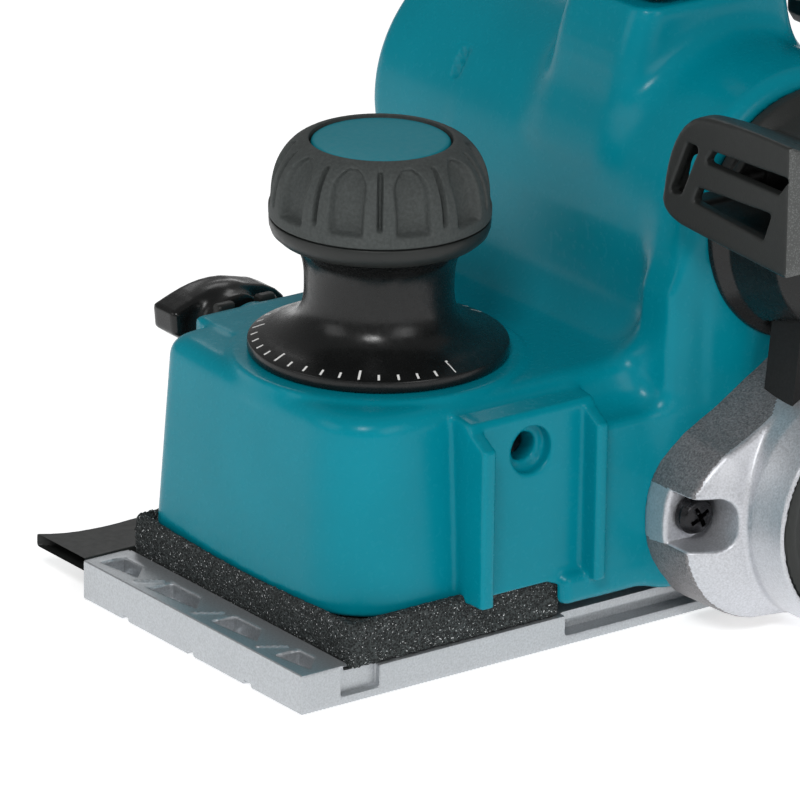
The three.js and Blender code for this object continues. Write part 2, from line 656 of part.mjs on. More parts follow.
// ---------------------------------------------------------------- handle
function handleOutline() {
  const shape = new THREE.Shape();
  shape.moveTo(61, 128.3);
  shape.lineTo(99.5, 128.3);
  shape.quadraticCurveTo(102, 150, 86, 155);
  shape.bezierCurveTo(50, 160, -10, 156, -48, 139.5);
  shape.quadraticCurveTo(-70, 126, HANDLE.back, 90);
  shape.lineTo(HANDLE.back, deckTop(HANDLE.back) + 0.6);
  shape.lineTo(-46, deckTop(-46) + 0.6);
  shape.lineTo(-46, 86);
  shape.quadraticCurveTo(-44, 108, -26, 116);
  shape.bezierCurveTo(0, 124, 30, 126, 56, 123);
  shape.lineTo(61, 128.3);
  return shape;
}

function gripBand(lift, thick) {
  const shape = new THREE.Shape();
  shape.moveTo(84, 155.2 + lift);
  shape.bezierCurveTo(50, 160 + lift, -10, 156 + lift, -46, 140.6 + lift);
  shape.lineTo(-46, 140.6 + lift + thick);
  shape.bezierCurveTo(-10, 156 + lift + thick, 50, 160 + lift + thick, 84, 155.2 + lift + thick);
  return shape;
}

function handle() {
  const { half } = HANDLE;
  const room = join(
    box(TRIGGER.x0 - 0.5, TRIGGER.x1 + 0.5, -7, 7, 110, 139.2),
    box(18, 56, -8.3, 8.3, 139, 152.6),
    rodX(0, GLAND.z, GLAND.r + GAP, -80, -66, 24),
  );
  const bore = rodY(LOCK.x, LOCK.z, LOCK.r + GAP, 8, 20, 24);
  const whole = (y0, y1) => sideways(handleOutline(), y0, y1, 4.5, 8);
  const left = whole(-half, half).intersect(box(-90, 120, GAP / 2, 30, 0, 200));
  const right = whole(-half, half).intersect(box(-90, 120, -30, -GAP / 2, 0, 200));
  const holes = HANDLE_SCREWS.flatMap(([x, z]) => [
    rodY(x, z, 4.2, 12.6, 20, 20),
    rodY(x, z, 2, -10, 20, 14),
  ]);
  piece("handle_left", cut(left, room, bore, ...holes), TEAL);
  piece("handle_right", cut(right, room, ...holes), TEAL);
  HANDLE_SCREWS.forEach(([x, z], i) => {
    const screw = join(rodY(x, z, 3.8, 12.9, 15.2, 18), rodY(x, z, 1.7, -8, 13, 12));
    piece(`handle_screw_${i + 1}`, screw, STEEL);
  });
  piece("grip_cover", sideways(gripBand(1, 3), -10.5, 10.5, 1.4, 8), SOFT_BLACK);
  const { x0, x1, low, high } = TRIGGER;
  const lever = new THREE.Shape();
  lever.moveTo(x0, high);
  lever.lineTo(x0, low + 4);
  lever.quadraticCurveTo(x0 + 2, low + 2, x0 + 6, low + 3.5);
  lever.quadraticCurveTo(x1 - 8, low + 7, x1 - 2, low + 1);
  lever.quadraticCurveTo(x1, low, x1, low + 4);
  lever.lineTo(x1, high);
  piece("trigger", sideways(lever, -TRIGGER.half, TRIGGER.half, 0, 6), BLACK);
  piece("switch_body", box(20, 54, -8, 8, 139.5, 152.2), BLACK);
  piece("lock_button", rodY(LOCK.x, LOCK.z, LOCK.r, LOCK.y0, LOCK.y1, 24), BLACK);
  const gland = cut(
    join(rodX(0, GLAND.z, GLAND.r, -78, -66.4), rodX(0, GLAND.z, GLAND.r + 2, -76.5, -73.3)),
    rodX(0, GLAND.z, 3.8, -80, -69),
  );
  piece("cord_inlet", gland, RUBBER);
}

// ---------------------------------------------------------------- side fittings
function chipOutlet() {
  const outer = rounded(92, 117, 38, 59.5, 7);
  const inner = rounded(94.6, 114.4, 40.6, 56.9, 5);
  const tube = cut(sideways(outer, -58, -SIDE.y - GAP, 0, 5), sideways(inner, -60, -40, 0, 5));
  piece("chip_outlet", tube, BLACK);
}

function depthGuide() {
  const { x, z, y, foot, out, front, back } = GUIDE;
  const arm = box(x - 8, x + 8, y - 3, y, foot, GUIDE.top);
  const flange = box(back, front, out, -HALF - 0.6, foot, foot + 3);
  const slot = box(x - 3.3, x + 3.3, y - 5, y + 2, z - 6.6, z + 9.6);
  piece("depth_guide", cut(join(arm, flange), slot), BLACK);
  const wing = upward(rounded(x - 17.5, x + 17.5, y - 18.4, y - 9, 4), z - 5, z + 5, 1.5, 5);
  const knob = join(rodY(x, z, 7.5, y - 11, y - 3 - GAP, 24), wing, rodY(x, z, 2.6, y - 10, y + 18, 16));
  piece("wing_knob", knob, BLACK);
}

// The parking foot folds down behind the sole and keeps the blades off the bench.
function rearFoot() {
  const { x, z, r, half } = FOOT;
  const flap = join(rodY(x, z, r, -half, half, 16), box(REAR + 1.5, x, -half, half, z - r, z + r));
  piece("rear_foot", cut(flap, rodY(x, z, 1.5, -12, 12, 12)), BLACK);
  piece("foot_pin", rodY(x, z, 1.2, -13.5, 13.5, 12), STEEL);
}

frontShoe();
foamSeal();
shoeSpring();
depthKnob();
mainHousing();
rearSole();
cutter();
motor();
driveBelt();
beltCover();
ventHood();
handle();
chipOutlet();
depthGuide();
rearFoot();

export default planer;
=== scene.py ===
"""Looks of a hand-held electric planer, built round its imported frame.

Sizes in the classes are in millimetres along the frame's own axes: +X forward, +Y to the
planer's left (the belt side), +Z up. The meshes are made in metres. Moulded and cast pieces
are drawn as distance fields, which blend and cut cleanly, and are then skinned with quads.
"""
import json
import logging
import math
from dataclasses import dataclass, field
from enum import Enum
from functools import reduce
from typing import Callable, Sequence

import bpy
import numpy as np
from mathutils import Matrix, Vector


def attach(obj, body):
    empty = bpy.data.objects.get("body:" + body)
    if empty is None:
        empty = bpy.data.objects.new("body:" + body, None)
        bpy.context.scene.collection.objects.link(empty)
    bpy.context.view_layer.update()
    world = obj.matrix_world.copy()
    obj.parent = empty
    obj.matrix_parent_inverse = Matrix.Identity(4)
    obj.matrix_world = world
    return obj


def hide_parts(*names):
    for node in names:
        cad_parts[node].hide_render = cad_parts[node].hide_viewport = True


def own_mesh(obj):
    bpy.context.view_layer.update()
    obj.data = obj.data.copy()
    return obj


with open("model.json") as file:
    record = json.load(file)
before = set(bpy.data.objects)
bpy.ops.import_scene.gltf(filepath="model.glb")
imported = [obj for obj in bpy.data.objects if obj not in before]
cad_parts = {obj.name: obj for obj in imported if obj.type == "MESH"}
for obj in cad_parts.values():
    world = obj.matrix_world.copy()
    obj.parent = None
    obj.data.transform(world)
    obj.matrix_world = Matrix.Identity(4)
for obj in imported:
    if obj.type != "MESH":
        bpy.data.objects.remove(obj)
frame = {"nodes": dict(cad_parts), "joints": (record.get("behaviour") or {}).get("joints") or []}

logging.basicConfig(level=logging.INFO, format="%(message)s")
log = logging.getLogger("planer")

MM = 0.001
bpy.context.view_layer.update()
BODY = "planer_body"

Array = np.ndarray
Field = Callable[[Array, Array, Array], Array]
Point = tuple[float, float]
Colour = tuple[float, float, float]


class Axis(Enum):
    """The frame's axes."""

    X = 0
    Y = 1
    Z = 2

    @property
    def plane(self) -> tuple[int, int]:
        """The two other axes, in order."""
        return {0: (1, 2), 1: (0, 2), 2: (0, 1)}[self.value]


# ---------------------------------------------------------------- outlines
def arc(centre: Point, radius: float, start: float, end: float, count: int = 12) -> list[Point]:
    """Points along a circular arc.

    Args:
        centre: Centre of the arc.
        radius: Radius of the arc.
        start: First angle in degrees.
        end: Last angle in degrees.
        count: Number of points.

    Returns:
        The points, first to last.
    """
    angles = np.radians(np.linspace(start, end, count))
    return [(centre[0] + radius * math.cos(a), centre[1] + radius * math.sin(a)) for a in angles]


def bend(start: Point, pull_a: Point, pull_b: Point, end: Point, count: int = 12) -> list[Point]:
    """Points along a cubic curve from start to end, pulled by two points.

    Args:
        start: First point.
        pull_a: Point that sets the direction at the start.
        pull_b: Point that sets the direction at the end.
        end: Last point.
        count: Number of points.

    Returns:
        The points, first to last.
    """
    t = np.linspace(0, 1, count)[:, None]
    a, b, c, d = (np.array(p, float) for p in (start, pull_a, pull_b, end))
    curve = a * (1 - t) ** 3 + 3 * b * t * (1 - t) ** 2 + 3 * c * t * t * (1 - t) + d * t**3
    return [tuple(p) for p in curve]


def outline_distance(outline: Sequence[Point], u: Array, v: Array) -> Array:
    """Signed distance in a plane to a closed outline, negative inside.

    Args:
        outline: Corners of the outline.
        u: First plane coordinate.
        v: Second plane coordinate.

    Returns:
        The distance at each point.
    """
    nearest: Array | float = np.inf
    sign: Array | float = 1.0
    for (ax, ay), (bx, by) in zip(outline, [*outline[1:], outline[0]]):
        ex, ey = bx - ax, by - ay
        wx, wy = u - ax, v - ay
        along = np.clip((wx * ex + wy * ey) / (ex * ex + ey * ey), 0, 1)
        nearest = np.minimum(nearest, (wx - ex * along) ** 2 + (wy - ey * along) ** 2)
        above, below, left = v >= ay, v < by, ex * wy > ey * wx
        crosses = (above & below & left) | (~above & ~below & ~left)
        sign = np.where(crosses, -sign, sign)
    return sign * np.sqrt(nearest)


# ---------------------------------------------------------------- fields of single solids
def rounded_corner(*sides: Array) -> Array:
    """Distance to the corner that several flat sides make, rounded on the outside.

    Args:
        *sides: Signed distances to the sides.

    Returns:
        The joint distance.
    """
    inner = np.minimum(reduce(np.maximum, sides), 0)
    return inner + np.sqrt(sum(np.maximum(side, 0) ** 2 for side in sides))


def block(low: Sequence[float], high: Sequence[float], edge: float = 0.6) -> Field:
    """A box with rounded edges.

    Args:
        low: Lowest corner.
        high: Highest corner.
        edge: Edge radius.

    Returns:
        The box's field.
    """

    def distance(*p: Array) -> Array:
        """Signed distance to the solid at each point."""
        sides = [np.abs(q - (a + b) / 2) - (b - a) / 2 + edge for q, a, b in zip(p, low, high)]
        return rounded_corner(*sides) - edge

    return distance


def rod(axis: Axis, centre: Point, radius: float, low: float, high: float, edge: float = 0.4) -> Field:
    """A cylinder along an axis, with rounded rims.

    Args:
        axis: Direction of the cylinder.
        centre: Its centre on the two other axes.
        radius: Its radius.
        low: Where it starts along its axis.
        high: Where it ends.
        edge: Rim radius.

    Returns:
        The cylinder's field.
    """
    i, j = axis.plane

    def distance(*p: Array) -> Array:
        """Signed distance to the solid at each point."""
        side = np.hypot(p[i] - centre[0], p[j] - centre[1]) - radius + edge
        end = np.abs(p[axis.value] - (low + high) / 2) - (high - low) / 2 + edge
        return rounded_corner(side, end) - edge

    return distance


def prism(
    axis: Axis, outline: Sequence[Point], low: float, high: float, edge: float = 0.6, grow: float = 0.0
) -> Field:
    """An outline drawn out along an axis.

    Args:
        axis: Direction that the outline is drawn out in.
        outline: Corners on the two other axes.
        low: Where it starts along its axis.
        high: Where it ends.
        edge: Radius of the rims.
        grow: Distance that the outline is grown by, which rounds its corners.

    Returns:
        The prism's field.
    """
    i, j = axis.plane

    def distance(*p: Array) -> Array:
        """Signed distance to the solid at each point."""
        side = outline_distance(outline, p[i], p[j]) - grow + edge
        end = np.abs(p[axis.value] - (low + high) / 2) - (high - low) / 2 + edge
        return rounded_corner(side, end) - edge

    return distance


def turned(axis: Axis, centre: Point, profile: Sequence[Point], grow: float = 0.0) -> Field:
    """A profile turned about an axis.

    Args:
        axis: Direction of the turning axis.
        centre: Where the axis stands on the two other axes.
        profile: Radius and place along the axis of each corner; a radius of 0 is a solid centre.
        grow: Distance that the profile is grown by, which rounds its corners.

    Returns:
        The turned solid's field.
    """
    i, j = axis.plane
    closed = [(r if r > 0 else -40.0, h) for r, h in profile]

    def distance(*p: Array) -> Array:
        """Signed distance to the solid at each point."""
        radius = np.hypot(p[i] - centre[0], p[j] - centre[1])
        return outline_distance(closed, radius, p[axis.value]) - grow

    return distance


# ---------------------------------------------------------------- joining and cutting fields
def blend(reach: float, *parts: Field) -> Field:
    """Joins solids with a fillet.

    Args:
        reach: How far the fillet reaches; 0 leaves a sharp corner.
        *parts: The solids.

    Returns:
        The joined field.
    """

    def smooth(a: Array, b: Array) -> Array:
        """The nearer of two distances, with a fillet between them."""
        if reach == 0:
            return np.minimum(a, b)
        near = np.maximum(reach - np.abs(a - b), 0) / reach
        return np.minimum(a, b) - near * near * reach / 4

    return lambda *p: reduce(smooth, (part(*p) for part in parts))


def carve(reach: float, base: Field, *tools: Field) -> Field:
    """Cuts tools out of a solid with a softened rim.

    Args:
        reach: How far the rim's rounding reaches; 0 leaves it sharp.
        base: The solid that is cut.
        *tools: What is cut out of it.

    Returns:
        The cut field.
    """

    def smooth(a: Array, b: Array) -> Array:
        """What is left of the solid after one tool."""
        if reach == 0:
            return np.maximum(a, -b)
        near = np.maximum(reach - np.abs(a + b), 0) / reach
        return np.maximum(a, -b) + near * near * reach / 4

    return lambda *p: reduce(smooth, (tool(*p) for tool in tools), base(*p))


def common(reach: float, first: Field, second: Field) -> Field:
    """What two solids share, with a softened rim.

    Args:
        reach: How far the rim's rounding reaches.
        first: One solid.
        second: The other solid.

    Returns:
        The shared field.
    """
    return carve(reach, first, lambda *p: -second(*p))


# ---------------------------------------------------------------- skinning fields
def stations(*spans: tuple[float, float, float]) -> Array:
    """Grid places along an axis, from spans of low, high and step."""
    runs = [np.linspace(low, high, max(2, round((high - low) / step) + 1)) for low, high, step in spans]
    return np.unique(np.round(np.concatenate(runs), 4))


class Skin:
    """A quad mesh on the surface where a field is zero."""

    def __init__(self, surface: Field, xs: Array, ys: Array, zs: Array) -> None:
        """Walks the grid and places one corner in each cell that the surface crosses.

        Args:
            surface: The field.
            xs: Grid places along X, in millimetres.
            ys: Grid places along Y.
            zs: Grid places along Z.
        """
        self.surface = surface
        self.axes = (xs, ys, zs)
        shape = tuple(len(a) for a in self.axes)
        values = surface(xs[:, None, None], ys[None, :, None], zs[None, None, :])
        self.values = np.ascontiguousarray(np.broadcast_to(values, shape), dtype=np.float32)
        self.cells = tuple(n - 1 for n in shape)
        self.points, self.quads = self._walk()
        self._settle()

    def _walk(self) -> tuple[Array, Array]:
        """Finds the crossed grid edges.

        Returns:
            Corner places and the quads between them.
        """
        size = int(np.prod(self.cells))
        total = np.zeros((3, size))
        hits = np.zeros(size)
        rings = []
        for axis in range(3):
            low = np.take(self.values, range(self.cells[axis]), axis)
            high = np.take(self.values, range(1, self.cells[axis] + 1), axis)
            found = list(np.nonzero((low < 0) != (high < 0)))
            u, v = (axis + 1) % 3, (axis + 2) % 3
            keep = (found[u] > 0) & (found[v] > 0) & (found[u] < self.cells[u]) & (found[v] < self.cells[v])
            found = [f[keep] for f in found]
            a, b = low[tuple(found)], high[tuple(found)]
            place = [self.axes[k][found[k]].astype(float) for k in range(3)]
            step = self.axes[axis][found[axis] + 1] - self.axes[axis][found[axis]]
            place[axis] = place[axis] + step * a / (a - b)
            ring = []
            for du, dv in ((0, 0), (1, 0), (1, 1), (0, 1)):
                cell = list(found)
                cell[u], cell[v] = cell[u] - du, cell[v] - dv
                flat = np.ravel_multi_index(cell, self.cells)
                hits += np.bincount(flat, minlength=size)
                for k in range(3):
                    total[k] += np.bincount(flat, weights=place[k], minlength=size)
                ring.append(flat)
            ring = np.stack(ring, 1)
            rings.append(np.where((a < 0)[:, None], ring, ring[:, ::-1]))
        used = np.nonzero(hits)[0]
        number = np.full(size, -1)
        number[used] = np.arange(len(used))
        return (total[:, used] / hits[used]).T, number[np.concatenate(rings)]

    def _settle(self, rounds: int = 3, reach: float = 0.45) -> None:
        """Moves each corner onto the surface along the field's slope.

        Args:
            rounds: Number of passes.
            reach: Longest move in one pass, in millimetres.
        """
        nudge = 0.02
        for _ in range(rounds):
            p = [self.points[:, k] for k in range(3)]
            value = self.surface(*p)
            slope = np.empty_like(self.points)
            for k in range(3):
                ahead, behind = list(p), list(p)
                ahead[k], behind[k] = p[k] + nudge, p[k] - nudge
                slope[:, k] = (self.surface(*ahead) - self.surface(*behind)) / (2 * nudge)
            steep = np.maximum((slope**2).sum(1), 0.05)
            move = -(value / steep)[:, None] * slope
            length = np.maximum(np.linalg.norm(move, axis=1, keepdims=True), 1e-9)
            self.points = self.points + move * np.minimum(1, reach / length) * 0.9


def mesh_object(
    name: str, points: Array, faces: Array | list, crease: float | None = 40.0
) -> bpy.types.Object:
    """Makes an object from corners in millimetres.

    Args:
        name: Name of the piece.
        points: Corner places in millimetres.
        faces: Corner numbers of each face.
        crease: Angle in degrees above which an edge is shaded sharp, or None for all smooth.

    Returns:
        The object, linked to the scene.
    """
    mesh = bpy.data.meshes.new(name)
    mesh.from_pydata((np.asarray(points) * MM).tolist(), [], [list(map(int, f)) for f in faces])
    mesh.validate()
    mesh.shade_smooth()
    if crease is not None:
        mesh.set_sharp_from_angle(angle=math.radians(crease))
    mesh.update()
    made = bpy.data.objects.new(name, mesh)
    bpy.context.scene.collection.objects.link(made)
    return made


def skinned(
    name: str, surface: Field, xs: Array, ys: Array, zs: Array, crease: float | None = None
) -> bpy.types.Object:
    """Makes an object on a field's surface.

    Args:
        name: Name of the piece.
        surface: The field.
        xs: Grid places along X, in millimetres.
        ys: Grid places along Y.
        zs: Grid places along Z.
        crease: Angle in degrees above which an edge is shaded sharp, or None.

    Returns:
        The object.
    """
    skin = Skin(surface, xs, ys, zs)
    return mesh_object(name, skin.points, skin.quads, crease)


def lathe(name: str, centre: Point, rings: Sequence[Point], sides: int, shape: Callable | None = None,
          crease: float | None = 30.0) -> bpy.types.Object:
    """A piece turned about an upright axis, with an optional rule that moves its surface in or out.

    Args:
        name: Name of the piece.
        centre: Where its axis stands in X and Y.
        rings: Radius and height of each ring, from the axis out and back to the axis, or closed.
        sides: Number of steps round the axis.
        shape: Takes angle and height, and returns how far the surface is sunk.
        crease: Angle in degrees above which an edge is shaded sharp, or None.

    Returns:
        The object.
    """
    turn = np.linspace(0, 2 * np.pi, sides, endpoint=False)
    radius = np.array([r for r, _ in rings])[:, None] * np.ones(sides)
    height = np.array([z for _, z in rings])[:, None] * np.ones(sides)
    if shape is not None:
        radius = radius - shape(turn[None, :], height, radius)
    points = np.stack([centre[0] + radius * np.cos(turn), centre[1] + radius * np.sin(turn), height], -1)
    count = len(rings)
    faces = []
    for i in range(count):
        here, there = i * sides, ((i + 1) % count) * sides
        for k in range(sides):
            m = (k + 1) % sides
            faces.append([here + k, here + m, there + m, there + k])
    made = mesh_object(name, points.reshape(-1, 3), faces, crease)
    return made


# ---------------------------------------------------------------- finishes
def srgb(red: int, green: int, blue: int) -> Colour:
    """Linear colour of a display colour.

    Args:
        red: Red from 0 to 255.
        green: Green from 0 to 255.
        blue: Blue from 0 to 255.

    Returns:
        The colour on the linear scale.
    """

    def straight(value: int) -> float:
        """One channel on the linear scale."""
        share = value / 255
        return share / 12.92 if share <= 0.04045 else ((share + 0.055) / 1.055) ** 2.4

    return straight(red), straight(green), straight(blue)


def tinted(colour: Colour, share: float) -> tuple[float, float, float, float]:
    """A colour made lighter or darker, with full alpha.

    Args:
        colour: The colour.
        share: What it is multiplied by.

    Returns:
        The four channels.
    """
    return (*(min(1.0, c * share) for c in colour), 1.0)


class NodeSheet:
    """A material's nodes, laid out through short calls."""

    def __init__(self, name: str) -> None:
        """Starts a material with one shader and the piece's own coordinates.

        Args:
            name: Name of the material.
        """
        self.material = bpy.data.materials.new(name)
        self.material.use_nodes = True
        self.tree = self.material.node_tree
        self.shader = self.tree.nodes["Principled BSDF"]
        self.place = self.tree.nodes.new("ShaderNodeTexCoord").outputs["Object"]

    def socket(self, name: str, value: float | tuple) -> None:
        """Sets a number or colour on the shader itself.

        Args:
            name: The shader's input.
            value: The number or colour.
        """
        self.shader.inputs[name].default_value = value

    def link(self, source: bpy.types.NodeSocket, node: bpy.types.Node, name: str | int) -> None:
        """Joins an output to a node's input.

        Args:
            source: The output.
            node: The node that takes it.
            name: Name or number of the node's input.
        """
        self.tree.links.new(source, node.inputs[name])

    def noise(self, size: float, detail: float = 3.0, stretch: tuple | None = None) -> bpy.types.NodeSocket:
        """Soft noise with features of a given size.

        Args:
            size: Size of the features in millimetres.
            detail: Number of finer layers.
            stretch: Scale of each axis, or None for even noise.

        Returns:
            The noise value.
        """
        source = self.place
        if stretch is not None:
            mapping = self.tree.nodes.new("ShaderNodeMapping")
            mapping.inputs["Scale"].default_value = stretch
            self.link(source, mapping, "Vector")
            source = mapping.outputs["Vector"]
        node = self.tree.nodes.new("ShaderNodeTexNoise")
        node.inputs["Scale"].default_value = 1 / (size * MM)
        node.inputs["Detail"].default_value = detail
        self.link(source, node, "Vector")
        return node.outputs[0]

    def cells(self, size: float) -> bpy.types.NodeSocket:
        """Distance to the middle of random cells.

        Args:
            size: Size of a cell in millimetres.

        Returns:
            The distance value.
        """
        node = self.tree.nodes.new("ShaderNodeTexVoronoi")
        node.inputs["Scale"].default_value = 1 / (size * MM)
        self.link(self.place, node, "Vector")
        return node.outputs["Distance"]

    def ramp(self, source: bpy.types.NodeSocket, *stops: tuple[float, tuple]) -> bpy.types.NodeSocket:
        """Turns a value into colours.

        Args:
            source: The value.
            *stops: Place and colour of each stop.

        Returns:
            The colour.
        """
        node = self.tree.nodes.new("ShaderNodeValToRGB")
        elements = node.color_ramp.elements
        while len(elements) < len(stops):
            elements.new(0.5)
        for element, (place, colour) in zip(elements, stops):
            element.position = place
            element.color = colour
        self.link(source, node, "Fac")
        return node.outputs["Color"]

    def spread(self, source: bpy.types.NodeSocket, low: float, high: float, first: float = 0.3,
               last: float = 0.7) -> bpy.types.NodeSocket:
        """Maps a value onto another range.

        Args:
            source: The value.
            low: What the range starts at.
            high: What the range ends at.
            first: Where the value starts.
            last: Where the value ends.

        Returns:
            The mapped value.
        """
        node = self.tree.nodes.new("ShaderNodeMapRange")
        node.inputs["From Min"].default_value = first
        node.inputs["From Max"].default_value = last
        node.inputs["To Min"].default_value = low
        node.inputs["To Max"].default_value = high
        self.link(source, node, "Value")
        return node.outputs["Result"]

    def mixed(self, share: bpy.types.NodeSocket, first: bpy.types.NodeSocket | tuple,
              second: bpy.types.NodeSocket | tuple) -> bpy.types.NodeSocket:
        """Mixes two colours by a value.

        Args:
            share: Share of the second colour.
            first: First colour.
            second: Second colour.

        Returns:
            The mixed colour.
        """
        node = self.tree.nodes.new("ShaderNodeMix")
        node.data_type = "RGBA"
        self.link(share, node, 0)
        for index, colour in ((6, first), (7, second)):
            if isinstance(colour, tuple):
                node.inputs[index].default_value = colour
            else:
                self.link(colour, node, index)
        return node.outputs[2]

    def bump(self, height: bpy.types.NodeSocket, depth: float, strength: float = 1.0) -> None:
        """Raises the surface by a value, over any bump that is there.

        Args:
            height: The value.
            depth: Full height in millimetres.
            strength: Share of the height that shows.
        """
        node = self.tree.nodes.new("ShaderNodeBump")
        node.inputs["Strength"].default_value = strength
        node.inputs["Distance"].default_value = depth * MM
        self.link(height, node, "Height")
        before = self.shader.inputs["Normal"].links
        if before:
            self.link(before[0].from_socket, node, "Normal")
        self.link(node.outputs["Normal"], self.shader, "Normal")


@dataclass(frozen=True)
class MouldedPlastic:
    """Injection-moulded plastic: a fine even grain, with faint flow in its shade."""

    name: str
    colour: Colour
    roughness: float = 0.36
    grain: float = 0.012
    grain_size: float = 0.35
    flow: float = 0.05
    specular: float = 0.5

    def build(self) -> bpy.types.Material:
        """Makes the material."""
        sheet = NodeSheet(self.name)
        flow = sheet.noise(28, 2)
        dust = sheet.noise(1.6, 4)
        dark, light = tinted(self.colour, 1 - self.flow), tinted(self.colour, 1 + self.flow)
        base = sheet.ramp(flow, (0.3, dark), (0.7, light))
        worn = sheet.mixed(sheet.spread(dust, 0, 0.10, 0.5, 0.8), base, tinted(self.colour, 1.25))
        sheet.link(worn, sheet.shader, "Base Color")
        sheet.link(
            sheet.spread(dust, self.roughness - 0.05, self.roughness + 0.06), sheet.shader, "Roughness"
        )
        sheet.socket("Specular IOR Level", self.specular)
        sheet.bump(sheet.noise(self.grain_size, 2), self.grain)
        return sheet.material


@dataclass(frozen=True)
class SandedPlastic:
    """Black plastic with a sandy spark-eroded face that catches the light in grains."""

    name: str
    colour: Colour
    roughness: float = 0.5
    grain: float = 0.11

    def build(self) -> bpy.types.Material:
        """Makes the material."""
        sheet = NodeSheet(self.name)
        grains = sheet.cells(0.42)
        base = sheet.ramp(grains, (0.1, tinted(self.colour, 1.9)), (0.5, tinted(self.colour, 0.8)))
        sheet.link(base, sheet.shader, "Base Color")
        sheet.link(sheet.spread(sheet.noise(2.5), self.roughness - 0.06, self.roughness + 0.08), sheet.shader,
                   "Roughness")
        sheet.bump(sheet.noise(0.4, 2), self.grain)
        return sheet.material


@dataclass(frozen=True)
class SoftGrip:
    """Matte rubbery grip with a fine dusty grain."""

    name: str
    colour: Colour
    roughness: float = 0.72
    grain: float = 0.035

    def build(self) -> bpy.types.Material:
        """Makes the material."""
        sheet = NodeSheet(self.name)
        dust = sheet.noise(0.7, 4)
        base = sheet.ramp(dust, (0.35, tinted(self.colour, 0.86)), (0.7, tinted(self.colour, 1.22)))
        sheet.link(base, sheet.shader, "Base Color")
        sheet.link(sheet.spread(sheet.noise(9), self.roughness - 0.05, self.roughness + 0.08), sheet.shader,
                   "Roughness")
        sheet.socket("Specular IOR Level", 0.35)
        sheet.bump(sheet.noise(0.3, 2), self.grain)
        return sheet.material


@dataclass(frozen=True)
class CastMetal:
    """Cast aluminium under a thin silver coat, with the pitted grain of the casting."""

    name: str
    colour: Colour
    roughness: float = 0.42
    metallic: float = 0.75
    grain: float = 0.06
    grain_size: float = 0.5
    speckle: float = 0.16

    def build(self) -> bpy.types.Material:
        """Makes the material."""
        sheet = NodeSheet(self.name)
        speckle = sheet.noise(0.45, 3)
        cloud = sheet.noise(14, 3)
        dark, light = tinted(self.colour, 1 - self.speckle), tinted(self.colour, 1 + self.speckle)
        fine = sheet.ramp(speckle, (0.32, dark), (0.68, light))
        base = sheet.mixed(sheet.spread(cloud, 0, 0.25), fine, tinted(self.colour, 0.86))
        sheet.link(base, sheet.shader, "Base Color")
        rough = sheet.spread(speckle, self.roughness - 0.07, self.roughness + 0.1)
        sheet.link(rough, sheet.shader, "Roughness")
        sheet.socket("Metallic", self.metallic)
        sheet.bump(sheet.noise(self.grain_size, 3), self.grain)
        return sheet.material


@dataclass(frozen=True)
class CutMetal:
    """Metal that was turned, ground or milled: fine lines along one axis."""

    name: str
    colour: Colour
    roughness: float = 0.3
    stretch: tuple[float, float, float] = (0.05, 1.0, 1.0)
    lines: float = 0.012

    def build(self) -> bpy.types.Material:
        """Makes the material."""
        sheet = NodeSheet(self.name)
        lines = sheet.noise(0.3, 4, self.stretch)
        base = sheet.ramp(lines, (0.3, tinted(self.colour, 0.86)), (0.7, tinted(self.colour, 1.12)))
        sheet.link(base, sheet.shader, "Base Color")
        rough = sheet.spread(lines, self.roughness - 0.06, self.roughness + 0.1)
        sheet.link(rough, sheet.shader, "Roughness")
        sheet.socket("Metallic", 1.0)
        sheet.bump(lines, self.lines)
        return sheet.material


@dataclass(frozen=True)
class OpenFoam:
    """Open-cell foam, coloured with painted shade in its pores and painted glints on the strands between
    them.
    """

    name: str
    colour: Colour
    pore: float = 0.52

    def build(self) -> bpy.types.Material:
        """Makes the material."""
        sheet = NodeSheet(self.name)
        pores = sheet.cells(self.pore)
        glint = sheet.noise(0.42, 2)
        # Painted shade: darkest in the middle of each pore, lightening to a painted highlight on the strand
        # edges.
        base = sheet.ramp(
            pores,
            (0.05, tinted(self.colour, 0.2)),
            (0.42, tinted(self.colour, 0.85)),
            (0.75, tinted(self.colour, 2.2)),
        )
        # Painted glints: pale flecks where the fine noise peaks.
        foam_with_painted_glints = sheet.mixed(sheet.spread(glint, 0, 1, 0.66, 0.70), base, (0.75, 0.77, 0.78, 1.0))
        sheet.link(foam_with_painted_glints, sheet.shader, "Base Color")
        sheet.socket("Roughness", 0.85)
        sheet.socket("Specular IOR Level", 0.3)
        sheet.bump(pores, 0.5)
        return sheet.material


@dataclass(frozen=True)
class Winding:
    """Lacquered copper wire wound along the shaft."""

    name: str
    colour: Colour

    def build(self) -> bpy.types.Material:
        """Makes the material."""
        sheet = NodeSheet(self.name)
        wire = sheet.noise(0.8, 2, (1.0, 0.04, 1.0))
        base = sheet.ramp(wire, (0.3, tinted(self.colour, 0.6)), (0.7, tinted(self.colour, 1.2)))
        sheet.link(base, sheet.shader, "Base Color")
        sheet.link(sheet.spread(wire, 0.25, 0.45), sheet.shader, "Roughness")
        sheet.socket("Metallic", 0.9)
        sheet.bump(wire, 0.15)
        return sheet.material


